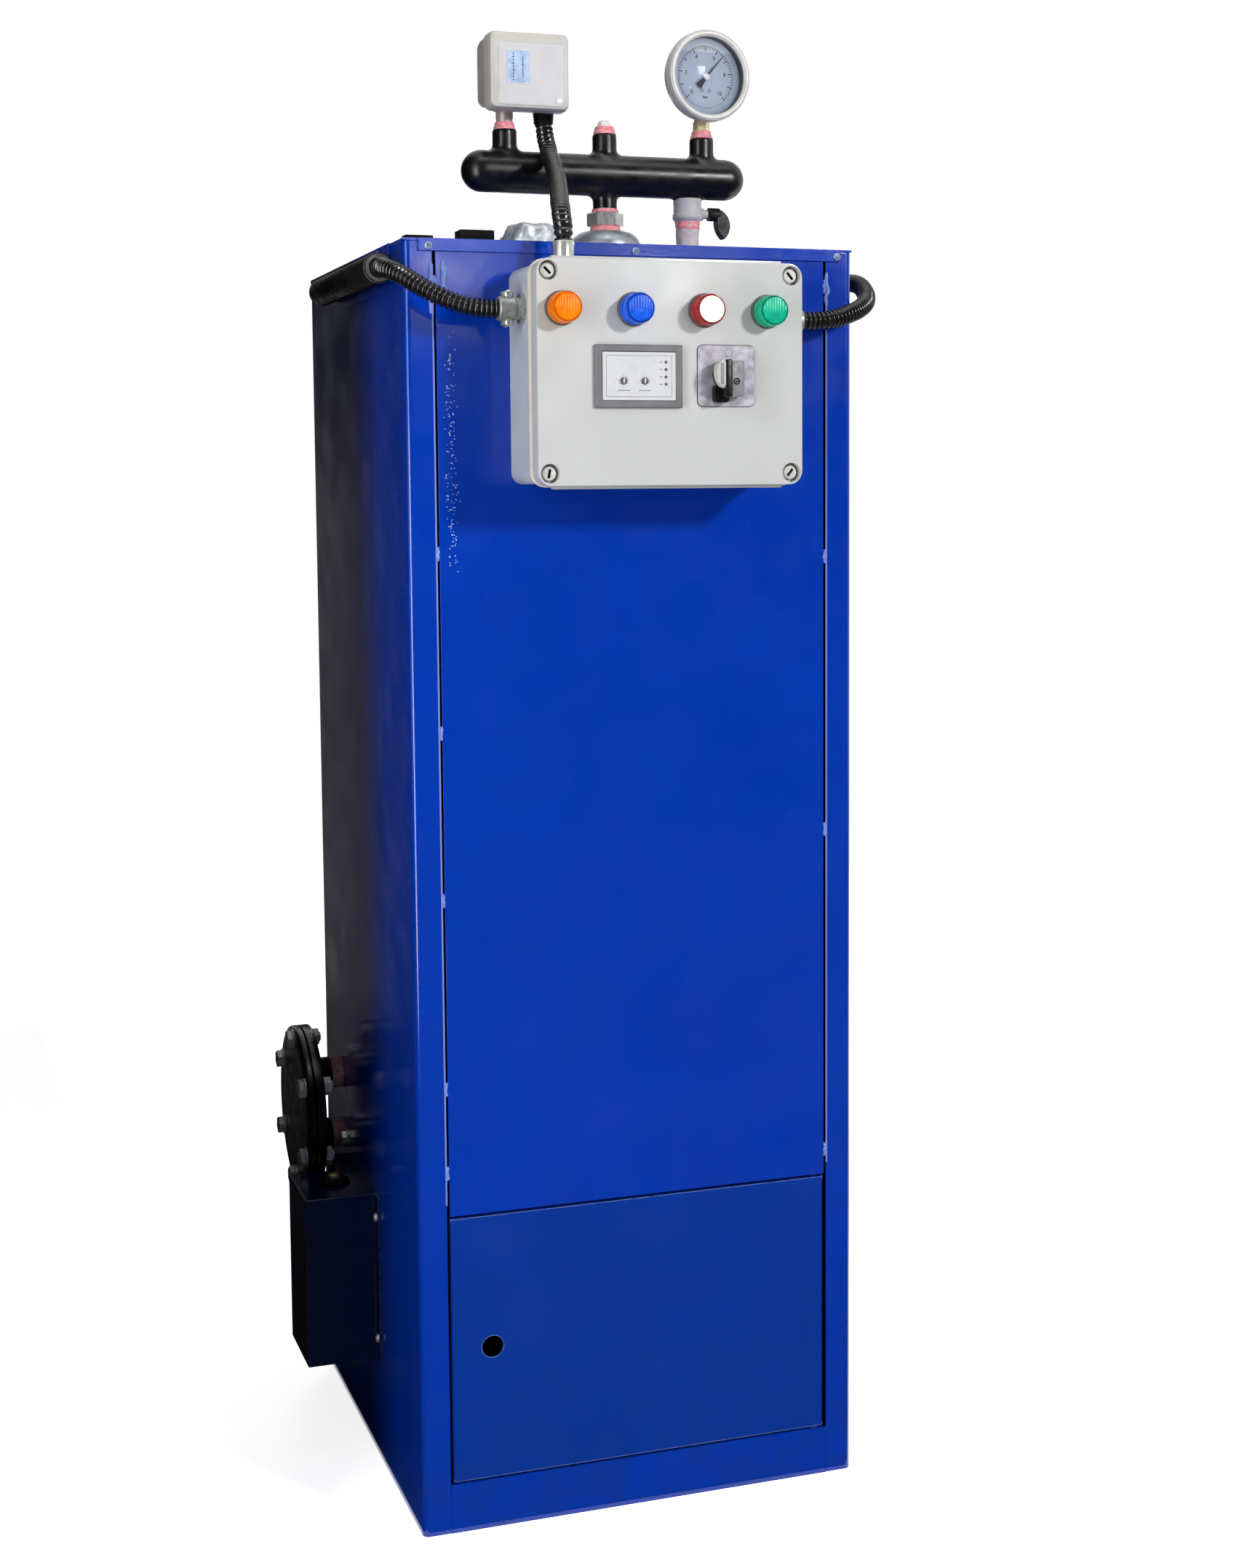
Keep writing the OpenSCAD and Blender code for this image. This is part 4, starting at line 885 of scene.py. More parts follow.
def add_relay_dial(shape, face, x):
    """A small turning knob with its ring of ticks and a line below."""
    middle = face + X * x + Z * RELAY_DIAL_Z
    shape.turned([(3.1, 0), (3.1, 0.9), (2.5, 1.3)], middle, FRONT, 24, slot=2)
    shape.block(1.0, 4.4, 0.4, 0.15, middle + FRONT * 1.2, slot=1)
    for tick in range(-3, 4):
        angle = math.radians(tick * 40)
        spot = middle + RELAY_TICK_R * (X * math.sin(angle) + Z * math.cos(angle))
        shape.block(0.5, 0.5, RELAY_LINE, 0.06, spot, slot=2)
    shape.block(11, 0.6, RELAY_LINE, 0.08, middle - Z * 8, slot=2)


def make_relay():
    middle, width, height, depth = node_block("level_relay")
    inner_w = width - 2 * RELAY_RIM
    inner_h = height - 2 * RELAY_RIM
    shape = Shape()
    shape.plates([
        (width, height, 1.2, 0), (width, height, 1.2, depth - 0.8), (width - 1.6, height - 1.6, 1, depth),
        (inner_w + 2, inner_h + 2, 0.8, depth), (inner_w, inner_h, 0.6, depth - 1.2)], middle)
    panel = (inner_w - 0.4, inner_h - 0.4, 0.6)
    shape.plates([(*panel, depth - 1.6), (*panel, depth - 0.9)], middle, slot=1)
    face = middle + FRONT * (depth - 0.95)
    for side in (1, -1):
        shape.block(inner_w - 7, 0.3, RELAY_LINE, 0.05, face + Z * side * (inner_h / 2 - 3), slot=2)
    for side in (-1, 1):
        shape.block(0.3, inner_h - 6, RELAY_LINE, 0.05, face + X * side * (inner_w / 2 - 3.5), slot=2)
    for row in range(4):
        level = face + Z * (12 - row * RELAY_LAMP_STEP)
        shape.turned([(1.3, 0), (1.3, 0.4), (0.8, 0.8)], level + X * 24, FRONT, 20, slot=2)
        shape.block(2.6, 0.5, RELAY_LINE, 0.08, level + X * 19.5, slot=2)
    for x in RELAY_DIALS:
        add_relay_dial(shape, face, x)
    finishes = [relay_dark, relay_panel, relay_ink]
    add_piece("relay_front", shape, finishes, replaced=["level_relay"])


def half_round(across, tall, steps=16):
    """The left half of an ellipse, as pairs."""
    angles = [math.pi * k / steps for k in range(steps + 1)]
    return [(-across * math.sin(a), tall * math.cos(a)) for a in angles]


def make_switch_plate(base):
    """A bevelled square plate with a generic mark, on a thin dark slab a little wider than the plate, and
    the shaft of the knob.
    """
    middle, side = node_block("switch_plate")[:2]
    shape = Shape()
    shape.plates([
        (side - 1, side - 1, 4, 0), (side, side, 4.5, 0.5), (side, side, 4.5, 1.2),
        (side - 3.5, side - 3.5, 3.4, 2.8), (side - 4.4, side - 4.4, 3, 3)], middle)
    # A thin dark slab round the plate's foot, darker than the lid.
    shape.plates([(side + 0.9, side + 0.9, 5, 0), (side + 0.9, side + 0.9, 5, 0.5)], middle, slot=2)
    face_y = middle.y - 3
    shape.words("0", 6, (middle.x + 1.5, face_y - 0.05, middle.z + side / 2 - 6.5), X, Z, slot=1)
    shape.turned([(3, 0), (3, 6)], (base.x, face_y, base.z), FRONT, 24, slot=2)
    finishes = [plate_metal, plug_white, knob_black]
    add_piece("switch_face", shape, finishes, replaced=["switch_plate"])


def make_switch_knob(base, radius, reach):
    """A round base, a pale half-round grip beside a black bar, and a grey tongue with a screw."""
    knob = Shape()
    knob.turned([(8.4, 0.2), (9, 1), (9, 3.4), (8.4, 4.2)], base, FRONT, 48)
    skirt = ((0.66, 3), (0.98, 10.5), (1, 11.8), (0.95, 12.6))
    grip = ((1, 11), (1, reach - 3.2), (0.95, reach - 2.2), (0.86, reach - 1.9))
    for size, shift, rings, slot in (
            ((radius, radius), (0.6, 0), skirt, 0), ((9.1, 12.4), (-3.1, 1.1), grip, 1)):
        loops = []
        for scale, distance in rings:
            loops.append([base + X * (a * scale + shift[0]) + Z * (b * scale + shift[1]) + FRONT * distance
                          for a, b in half_round(*size)])
        knob.loft(loops, slot)
    knob.block(2.2, 18, 0.5, 0.2, base + Vector((-7.2, -(reach - 2.1), 1)), slot=2)
    knob.block(1.7, 20, 1.2, 0.4, base + Vector((-4.6, -(reach - 2.1), 1)), slot=1)
    knob.block(5.8, 31.6, reach - 3, 1.2, base + Vector((-1, -3, -2.8)))
    knob.block(15.1, 30.6, reach * 0.36, 1.4, base + Vector((9.4, -3, -2.8)), slot=2)
    tongue = base + Vector((9.6, -(reach * 0.36 + 2.9), -5))
    knob.hoop([(1.7, 0), (3, 0), (3, 0.4), (1.7, 0.4)], tongue, FRONT, 24)
    knob.turned([(0.9, 0), (0.9, 0.4), (0.6, 0.5)], tongue, FRONT, 16)
    knob.block(14, 15, 8, 3, base + Vector((-2.7, -1, -15.7)))
    finishes = [knob_black, knob_pale, plate_block]
    add_piece("switch_handle", knob, finishes, body="knob", replaced=["switch_knob"])


def make_switch():
    base, width, _, reach = node_block("switch_knob")
    make_switch_plate(base)
    make_switch_knob(base, width / 2, reach)


dress(["control_box_body"], box_side, 1.2)
make_lid()
make_lamps()
make_relay()
make_switch()


# Glands where the conduits meet the boxes
CLAMP_R = 10.5
CLAMP_TEETH = 18


def add_clamp(shape, place, out, length):
    """A squeeze connector: star lock ring, barrel, and ears with screws above and below it."""
    radius = CLAMP_R
    across = out.cross(Z)
    star = []
    for distance in (0.4, 2.4):
        loop = []
        for k in range(2 * CLAMP_TEETH):
            angle = math.pi * k / CLAMP_TEETH
            reach = radius + (3.2 if k % 2 else 1.8)
            loop.append(place + out * distance + reach * (math.cos(angle) * Z + math.sin(angle) * across))
        star.append(loop)
    shape.loft(star)
    shape.turned([
        (radius - 1, 2), (radius - 1, 7), (radius, 8), (radius, length - 1.2), (radius - 0.8, length - 0.2),
        (CONDUIT_D / 2, length - 0.2)], place, out, 32)
    screw = [(3.6, -0.5), (3.6, 1.2), (2.8, 2.2), (1.6, 2.6)]
    for side in (-1, 1):
        ear = place + out * length * 0.6 + Z * side * (radius + 1.4)
        shape.block(10, 5, 8, 1.4, ear + across * 4, right=out, up=Z, out=-across)
        for face in (-1, 1):
            shape.turned(screw, ear + across * face * 4, across * face, 20, slot=1)


def add_ferrule(shape, place, length):
    """The narrow bright connector on top of the box, with two small ears at its foot."""
    radius = CONDUIT_D / 2 + 0.6
    shape.turned([
        (radius + 1.4, 0), (radius + 1.4, 2), (radius, 2.6), (radius, length - 1),
        (radius - 0.5, length - 0.2)], place, Z, 36, slot=1)
    for side in (-1, 1):
        shape.block(5, 8, 5, 1.2, place + X * side * (radius + 1.6), slot=1, right=X, up=Y, out=Z)


def make_glands():
    box_low, box_high = node_box("control_box_body")
    shape = Shape()
    for name, out, side in (("left_conduit", -X, box_low.x), ("right_conduit", X, box_high.x)):
        start = Vector(ROUTES[name][0])
        add_clamp(shape, Vector((side, start.y, start.z)), out, abs(start.x - side))
    top = Vector(ROUTES["switch_conduit"][-1])
    add_ferrule(shape, Vector((top.x, top.y, box_high.z)), top.z - box_high.z)
    add_piece("clamp_glands", shape, [dull_zinc, bright_zinc], replaced=["conduit_glands"])


def make_strain_relief():
    """The ribbed rubber cone under the pressure switch."""
    start = Vector(ROUTES["switch_conduit"][0])
    case_z = node_box("pressure_switch_case")[0].z
    outline = [(10, 0)]
    for step in range(5):
        depth = 1 + step * 2.8
        radius = 10.4 - step * 0.22
        neck = radius - 0.9
        outline.extend([(radius, depth), (radius, depth + 1.5), (neck, depth + 1.8), (neck, depth + 2.5)])
    outline.append((8.6, 15.5))
    cone = Shape()
    cone.turned(outline, (start.x, start.y, case_z), -Z, 32)
    add_piece("switch_strain_relief", cone, [black_rubber])


make_glands()
make_strain_relief()


# Header and what stands on it
FILLET = 5.5
BRANCH_R = 12
TAPE_TOPS = {"switch_nipple": 9.1, "header_plug": 9.1, "gauge_stem": 9.3}
VALVE_R = 14


def widest_height(name):
    """The height of a lying tube's axis, in millimetres."""
    return max(nodes[name].data.vertices, key=lambda vertex: vertex.co.y).co.z / MM


def middle_of(name):
    low, high = node_box(name)
    return (low + high) / 2


def add_branch(shape, place, up, reach, header_radius):
    """A branch with a round fillet that follows the header where it grows out of it."""
    radius = BRANCH_R
    sides = 40
    angles = [2 * math.pi * k / sides for k in range(sides)]
    loops = []

    def saddle(size, lift):
        loop = []
        for angle in angles:
            across = size * math.sin(angle)
            rise = math.sqrt(max(header_radius ** 2 - across ** 2, 1)) + lift
            loop.append(place + X * size * math.cos(angle) + Y * across + up * rise)
        return loop

    loops.append(saddle(radius + FILLET, -3))
    for step in range(8):
        angle = math.radians(90 * step / 7)
        loops.append(saddle(radius + FILLET * (1 - math.sin(angle)), FILLET * (1 - math.cos(angle))))
    for size, height in ((radius, reach - 1), (radius - 1, reach)):
        loops.append([place + X * size * math.cos(a) + Y * size * math.sin(a) + up * height for a in angles])
    shape.loft(loops)


def make_header():
    low, high = node_box("steam_header")
    radius = (high.y - low.y) / 2
    axis_z = widest_height("steam_header")
    length = high.x - low.x
    outline = []
    for step in range(13):
        angle = math.radians(4 + 86 * step / 12)
        outline.append((radius * math.sin(angle), radius * (1 - math.cos(angle))))
    outline.extend([(across, length - along) for across, along in reversed(outline)])
    shape = Shape()
    shape.turned(outline, (low.x, 0, axis_z), X, 48)
    branches = [(name, Z, high.z - axis_z) for name in TAPE_TOPS]
    branches.append(("hexagon_nipple", -Z, axis_z - low.z))
    branches.append(("valve_tail_pipe", -Z, axis_z - node_box("valve_body")[1].z))
    for name, up, reach in branches:
        add_branch(shape, Vector((middle_of(name).x, 0, axis_z)), up, reach, radius)
    header = add_piece("header_casting", shape, [header_paint], replaced=["steam_header"])
    remesh = header.modifiers.new("one_skin", "REMESH")
    remesh.mode = "VOXEL"
    remesh.voxel_size = 1.3 * MM
    remesh.use_smooth_shade = True
    smooth = header.modifiers.new("soft_fillets", "SMOOTH")
    smooth.factor = 0.5
    smooth.iterations = 10


def add_wrap(shape, place, radius, height, top_radius, seed, slot=0):
    """A few uneven turns of thread tape."""
    sides = 40
    loops = []
    steps = 10
    for step in range(steps + 1):
        share = step / steps
        loop = []
        for k in range(sides):
            angle = 2 * math.pi * k / sides
            out = Vector((math.cos(angle), math.sin(angle), 0))
            turns = 0.25 * math.sin(share * 14 + angle + seed)
            lump = 0.5 * noise.noise(out * 1.5 + Vector((seed, 0, share * 2)))
            edge = 0.5 * noise.noise(out * 2 + Vector((0, seed, 5)))
            size = radius + (top_radius - radius) * share + turns + lump
            loop.append(Vector(place) + out * size + Z * (height * share + edge * (share - 0.3)))
        loops.append(loop)
    shape.loft(loops, slot)


def make_tape():
    header_low, header_high = node_box("steam_header")
    shape = Shape()
    for seed, (name, top_radius) in enumerate(TAPE_TOPS.items()):
        place = middle_of(name)
        add_wrap(shape, (place.x, place.y, header_high.z - 0.5), 11, 7, top_radius, seed)
    nipple = node_post("hexagon_nipple")[0]
    add_wrap(shape, (nipple.x, nipple.y, header_low.z - 1), 13.6, 4.5, 12.8, 3.3)
    add_wrap(shape, nipple, 15.5, 5, 14.2, 4.1)
    tail, height = node_post("valve_tail_pipe")
    add_wrap(shape, tail + Z * (height - 9), 11.8, 9, 12.4, 5.7)
    add_wrap(shape, tail, 11.4, 3.4, 11.3, 6.2)
    add_piece("tape_wraps", shape, [tape_pink], replaced=["thread_tape"])


def make_hexagon_nipple():
    foot, height = node_post("hexagon_nipple")
    shape = Shape()
    shape.turned([(11.5, 0), (11.5, height)], foot, Z, 32)
    shape.hexagon(31, 4.5, node_box("steam_header")[0].z - foot.z, foot, Z, turn=0.3)
    add_piece("nipple", shape, [bright_zinc], replaced=["hexagon_nipple"])


def make_switch_riser():
    foot, height = node_post("switch_nipple")
    shape = Shape()
    shape.turned([
        (8, 0), (8, height * 0.45), (8.4, height * 0.5), (8.4, height * 0.8), (11.5, height * 0.84),
        (11.5, height - 0.5), (11, height)], foot, Z, 32)
    add_piece("switch_riser", shape, [riser_metal], replaced=["switch_nipple"])


def make_plug():
    foot, height = node_post("header_plug")
    shape = Shape()
    shape.turned([(7.8, 0), (7.8, height * 0.5), (7.2, height * 0.6)], foot, Z, 32)
    shape.turned([
        (6.8, height * 0.55), (6.8, height * 0.7), (5.6, height * 0.88), (3.6, height * 0.97),
        (1.2, height)], foot, Z, 8)
    add_piece("branch_plug", shape, [plug_white], replaced=["header_plug"])


def make_gauge_stem():
    foot, height = node_post("gauge_stem")
    shape = Shape()
    shape.turned([(8.2, 0), (8.2, height * 0.4), (7.4, height * 0.45)], foot, Z, 32)
    shape.hexagon(14, height * 0.4, height, foot, Z, turn=0.25)
    add_piece("gauge_adapter", shape, [pale_brass], replaced=["gauge_stem"])


def make_foil():
    low, high = node_box("insulation_wrap")
    foot, height = node_post("insulation_wrap")
    radius = (high.x - low.x) / 2
    loops = []
    steps = 26
    sides = 72
    for step in range(steps + 1):
        share = step / steps
        bulge = math.cos(math.radians(86 * share)) ** 0.45
        rise = height * math.sin(math.radians(90 * share)) ** 1.1
        loop = []
        for k in range(sides):
            angle = 2 * math.pi * k / sides
            out = Vector((math.cos(angle), math.sin(angle), 0))
            spot = out * radius * bulge + Z * rise
            fold = 4.5 * noise.noise(spot / 15) + 2.2 * abs(noise.noise(spot / 6)) - 1.5
            loop.append(foot + spot + (out + Z * share) * fold * min(share * 6, 1))
        loops.append(loop)
    shape = Shape()
    shape.loft(loops)
    add_piece("foil_wrap", shape, [foil], replaced=["insulation_wrap"], sharp_angle=50)


def stem_height():
    """The height of the valve stem's axis, at its far end."""
    far = node_box("valve_body")[1].x - 0.5
    heights = [vertex.co.z / MM for vertex in nodes["valve_body"].data.vertices if vertex.co.x / MM > far]
    return (min(heights) + max(heights)) / 2


def make_valve():
    high = node_box("valve_body")[1]
    tail, tail_height = node_post("valve_tail_pipe")
    bottom = tail + Z * tail_height
    height = high.z - bottom.z
    reach = high.x - tail.x
    radius = VALVE_R
    shape = Shape()
    shape.turned([
        (radius - 1.5, -1), (radius - 0.8, 0), (radius + 0.6, 1.6), (radius + 0.8, 2.4), (radius + 0.8, 5.4),
        (radius + 0.2, 6.4), (radius - 0.2, 7), (radius - 0.2, height - 5), (radius, height - 4.4),
        (radius, height)], bottom, Z, 40)
    shape.turned([
        (6, 0), (6, radius + 2), (4.5, radius + 3), (4.5, reach - 16), (2.5, reach - 15.5), (2.5, reach - 3),
        (4.5, reach - 2.9), (4.5, reach - 0.8), (3.6, reach)], (tail.x, tail.y, stem_height()), X, 24)
    add_piece("ball_valve", shape, [valve_grey], replaced=["valve_body"])
    dress(["valve_lever"], grip_black, 1.6)
    pipe = Shape()
    add_wrap(pipe, tail, 11, tail_height, 11.6, 2.2)
    add_piece("wrapped_tail", pipe, [tail_wrap], replaced=["valve_tail_pipe"])


make_header()
make_tape()
make_hexagon_nipple()
make_switch_riser()
make_plug()
make_gauge_stem()
make_foil()
make_valve()
dress(["steam_dome"], galvanised, 1.0)


# Pressure switch


def make_switch_housing():
    back, width, height, depth = node_block("pressure_switch_case")
    shape = Shape()
    shape.plates([
        (width, height, 6, 0), (width, height, 7, depth * 0.55),
        (width - 1.5, height - 1.5, 8, depth * 0.75), (width - 6, height - 6, 8, depth * 0.92),
        (width - 14, height - 14, 7, depth)], back + FRONT * depth, right=-X, out=Y)
    add_piece("switch_housing", shape, [switch_beige], replaced=["pressure_switch_case"])


def add_switch_window(cover, window, width, height):
    """A framed window with two scales of generic marks."""
    cover.plates([
        (width + 1.6, height + 1.6, 0.8, 0), (width + 1.4, height + 1.4, 0.8, 0.8),
        (width, height, 0.5, 0.8), (width - 0.2, height - 0.2, 0.5, 0.5)], window, slot=1)
    cover.plates([(width, height, 0.5, 0.1), (width, height, 0.5, 0.6)], window, slot=3)
    for x, share in ((-0.24, 1), (0.2, 0.75)):
        bar = window + X * width * x + FRONT * 0.55
        length = height * share * 0.82
        for tick in range(9):
            spot = bar + Z * length * (tick / 8 - 0.5)
            cover.block(1.6 + tick % 2 * 0.8, 0.9, 0.15, 0.06, spot, slot=4)
        cover.block(0.5, length, 0.2, 0.08, bar, slot=4)


def make_switch_cover():
    middle, width, height, depth = node_block("pressure_switch_cover")
    cover = Shape()
    cover.plates([
        (width - 2, height - 2, 5, 0), (width, height, 6, 0.8), (width, height, 6, depth * 0.6),
        (width - 1, height - 1, 6, depth * 0.8), (width - 3.5, height - 3.5, 5.5, depth * 0.95),
        (width - 7, height - 7, 4.5, depth)], middle)
    panel = middle + FRONT * (depth - 0.2) + X * 1.2 - Z * 3
    panel_w = width * 0.8
    panel_h = height * 0.8
    cover.plates([
        (panel_w + 1.4, panel_h + 1.4, 4.4, -1), (panel_w + 1.2, panel_h + 1.2, 4.3, 0.5),
        (panel_w + 0.2, panel_h + 0.2, 4, 0.9), (panel_w - 0.6, panel_h - 0.6, 3.6, 0.55)], panel, slot=1)
    cover.plates([
        (panel_w - 1, panel_h - 1, 3.6, 0.2), (panel_w - 1.2, panel_h - 1.2, 3.6, 0.75)], panel, slot=2)
    window = panel + X * -panel_w * 0.2 + Z * panel_h * 0.1 + FRONT * 0.5
    add_switch_window(cover, window, panel_w * 0.33, panel_h * 0.52)
    pad = panel + X * panel_w * 0.41 - Z * panel_h * 0.41 + FRONT * 0.6
    cover.block(6, 5.6, 0.5, 0.2, pad, slot=1)
    finishes = [switch_rim, switch_white, switch_grey, window_blue, mark_blue]
    add_piece("switch_front", cover, finishes, replaced=["pressure_switch_cover"])


make_switch_housing()
make_switch_cover()


# Pressure gauge, turned a little on its stem
GAUGE_TURN = math.radians(6)
GAUGE_RIGHT = Vector((math.cos(GAUGE_TURN), math.sin(GAUGE_TURN), 0))
GAUGE_OUT = Vector((math.sin(GAUGE_TURN), -math.cos(GAUGE_TURN), 0))
SCALE_START = math.radians(-135)
SCALE_SWEEP = math.radians(270)
SCALE_TOP = 10
POINTER_SHARE = 0.655
GAUGE_LOW, GAUGE_HIGH = node_box("gauge_bezel")
GAUGE_CENTRE = Vector((middle_of("gauge_stem").x, 0, (GAUGE_LOW.z + GAUGE_HIGH.z) / 2))
GAUGE_R = (GAUGE_HIGH.z - GAUGE_LOW.z) / 2
DIAL_R = GAUGE_R - 6.3


def gauge_span(name):
    """How far back and forward a CAD node reaches along the gauge's axis, from its centre."""
    back, front = node_span(name, GAUGE_OUT)
    return back - GAUGE_CENTRE.dot(GAUGE_OUT), front - GAUGE_CENTRE.dot(GAUGE_OUT)


def spoke(share):
    """The direction from the dial's centre to a place on its scale, and the direction across it."""
    angle = SCALE_START + SCALE_SWEEP * share
    out = GAUGE_RIGHT * math.sin(angle) + Z * math.cos(angle)
    return out, out.cross(GAUGE_OUT)


def make_gauge_rim():
    back, front = gauge_span("gauge_bezel")
    face = gauge_span("gauge_dial")[1]
    rim = GAUGE_R
    bezel = Shape()
    bezel.hoop([
        (rim - 0.8, back), (rim, back + 0.8), (rim, front - 4), (rim - 0.6, front - 1.6),
        (rim - 2, front - 0.3), (rim - 3.8, front), (rim - 5.4, front - 0.7), (rim - 6.4, front - 2),
        (rim - 6.4, front - 4.5), (rim - 1.7, front - 4.5), (rim - 1.7, back)], GAUGE_CENTRE, GAUGE_OUT, 72)
    # The inner wall between the rim and the dial, dark: painted shade in the recess.
    bezel.hoop([
        (DIAL_R + 0.4, face), (DIAL_R + 0.4, front - 4.6), (DIAL_R - 0.6, front - 4.6),
        (DIAL_R - 0.6, face)], GAUGE_CENTRE, GAUGE_OUT, 72, slot=1)
    add_piece("gauge_rim", bezel, [rim_pale, dial_wall_painted_shade], replaced=["gauge_bezel"])


def make_gauge_dial():
    floor, face = gauge_span("gauge_dial")
    filled_to = GAUGE_CENTRE.z + DIAL_R * 0.62
    dial_face.paint(dial_face.height(filled_to, filled_to + 0.8), (0.56, 0.6, 0.68))
    dial = Shape()
    disc = [(DIAL_R, floor), (DIAL_R, face - 0.2), (DIAL_R - 0.2, face)]
    dial.turned(disc, GAUGE_CENTRE, GAUGE_OUT, 72)
    on_face = GAUGE_CENTRE + GAUGE_OUT * face
    proud = GAUGE_OUT * 0.05
    ticks = SCALE_TOP * 5
    for tick in range(ticks + 1):
        out, across = spoke(tick / ticks)
        width, length = (0.5, 2.6) if tick % 5 else (0.9, 4.6)
        spot = on_face + out * (DIAL_R - 8 - length / 2)
        dial.block(width, length, 0.12, 0.05, spot, 1, across, out, GAUGE_OUT)
        if tick % 10 == 0:
            figure = on_face + out * (DIAL_R - 16.5) + proud
            dial.words(str(tick // 5), 5.6, figure, GAUGE_RIGHT, Z, slot=1)
    arc = [(DIAL_R - 8.2, -0.05), (DIAL_R - 7.9, -0.05), (DIAL_R - 7.9, 0.12), (DIAL_R - 8.2, 0.12)]
    dial.hoop(arc, on_face, GAUGE_OUT, 72, slot=1)
    dial.words("bar", 4.5, on_face - Z * 19 + proud, GAUGE_RIGHT, Z, slot=1)
    ring = [(1.2, 0), (1.7, 0), (1.7, 0.1), (1.2, 0.1)]
    for side in (-1, 1):
        dial.hoop(ring, on_face - Z * 13 + GAUGE_RIGHT * side * 4, GAUGE_OUT, 20, slot=1)
    add_piece("gauge_face", dial, [dial_face, dial_ink], replaced=["gauge_dial"])


def make_gauge_pointer():
    lift = GAUGE_CENTRE + GAUGE_OUT * (gauge_span("gauge_dial")[1] + 1.6)
    out, across = spoke(POINTER_SHARE)
    needle = ((-0.9, 0), (-0.25, DIAL_R - 9), (0.25, DIAL_R - 9), (0.9, 0))
    tail = ((-0.9, 2), (0.9, 2), (3.4, -12), (0, -13.2), (-3.4, -12))
    pointer = Shape()
    for outline in (needle, tail):
        flat = [lift + across * a + out * b for a, b in outline]
        pointer.loft([flat, [point + GAUGE_OUT * 0.7 for point in flat]])
    pointer.turned([(3.2, -1), (3.2, 1.4), (2.6, 2.2), (1, 2.5)], lift, GAUGE_OUT, 24, slot=1)
    add_piece("gauge_needle", pointer, [dial_ink, plug_white], replaced=["gauge_pointer"])


def make_gauge_window():
    inner = gauge_span("gauge_bezel")[1] - 5
    radius = GAUGE_R - 5.6
    cover = Shape()
    pane = [(radius, inner), (radius, inner + 1.6), (radius - 0.8, inner + 2)]
    cover.turned(pane, GAUGE_CENTRE, GAUGE_OUT, 64)
    add_piece("gauge_window", cover, [glass], replaced=["gauge_glass"])


make_gauge_rim()
make_gauge_dial()
make_gauge_pointer()
make_gauge_window()
dress(["gauge_case"], gauge_steel, 1.0)


# Level chamber and pump box on the left side, and the rubber pads on the roof
BOLT_COUNT = 6
BOLT_FLATS = 16
BOLT_PITCH_R = 71
SIDE_BOLT_Y = 102.5
SIDE_BOLT_Z = 281
PUMP_SCREW_X = -212
ROOF_PADS = (((-140, -186), (31, 20, 10, 1.2)), ((-192, -190), (25, 14, 4, 1.0)))


def make_chamber_cover():
    low, high = node_box("chamber_cover")
    middle = middle_of("chamber_cover")
    radius = (high.z - low.z) / 2
    thick = high.x - low.x
    cover = Shape()
    cover.turned([
        (radius - 3, 0.4), (radius - 1, 0.8), (radius, 2), (radius, thick - 2.4),
        (radius - 0.8, thick - 0.9), (radius - 2.4, thick - 0.1), (radius * 0.8, thick),
        (radius * 0.3, thick)], (high.x, middle.y, middle.z), -X, 96)
    add_piece("chamber_lid", cover, [flange_paint], replaced=["chamber_cover"])
    dress(["chamber_flange"], flange_paint, 1.2)
    dress(["chamber_pipes"], shaded_pipe_tape, 0.6)


def make_chamber_bolts():
    cover_x = node_box("chamber_cover")[0].x
    middle = middle_of("chamber_cover")
    head = cover_x - node_box("chamber_bolts")[0].x
    flange_back = node_box("chamber_flange")[0].x + 9
    washer = [(BOLT_FLATS * 0.62, -0.1), (BOLT_FLATS * 0.62, 1.1), (BOLT_FLATS * 0.58, 1.5)]
    bolts = Shape()
    for index in range(BOLT_COUNT):
        angle = math.radians(30 + 360 / BOLT_COUNT * index)
        spot = Vector((0, middle.y, middle.z)) + BOLT_PITCH_R * (Y * math.cos(angle) + Z * math.sin(angle))
        turn = 0.4 + index * 0.83
        at_face = spot + X * cover_x
        bolts.turned(washer, at_face, -X, 28)
        bolts.hexagon(BOLT_FLATS, 1.4, head, at_face, -X, turn=turn)
        behind = spot + X * flange_back
        bolts.hexagon(BOLT_FLATS, 0.1, 8, behind, X, turn=turn + 0.5)
        bolts.turned([(5, 0), (5, 9.4), (4.2, 10)], behind, X, 20)
    side = (node_box("left_panel")[0].x, SIDE_BOLT_Y, SIDE_BOLT_Z)
    bolts.turned([(8, -0.1), (8, 1.2), (7.4, 1.6)], side, -X, 24)
    bolts.hexagon(12, 1.5, 7, side, -X, turn=0.2)
    add_piece("chamber_fasteners", bolts, [bolt_zinc], replaced=["chamber_bolts"])


def make_grommet():
    low, high = node_box("pump_grommet")
    foot, height = node_post("pump_grommet")
    outer = (high.x - low.x) / 2
    grommet = Shape()
    grommet.hoop([
        (outer - 1, 0), (outer, 1), (outer, 2.2), (outer - 3.4, 4), (outer - 4.4, height - 0.6),
        (outer - 5.4, height), (outer - 6.8, height - 0.4), (outer - 7.2, 0)], foot, Z, 40)
    add_piece("rubber_grommet", grommet, [black_rubber], replaced=["pump_grommet"])


def make_brass_union():
    foot, height = node_post("brass_fitting")
    fitting = Shape()
    fitting.turned([(6, 0), (6, height * 0.3), (5.4, height * 0.4)], foot, Z, 24)
    fitting.hexagon(11, height * 0.35, height, foot, Z, turn=0.3)
    add_piece("brass_union", fitting, [brass], replaced=["brass_fitting"])


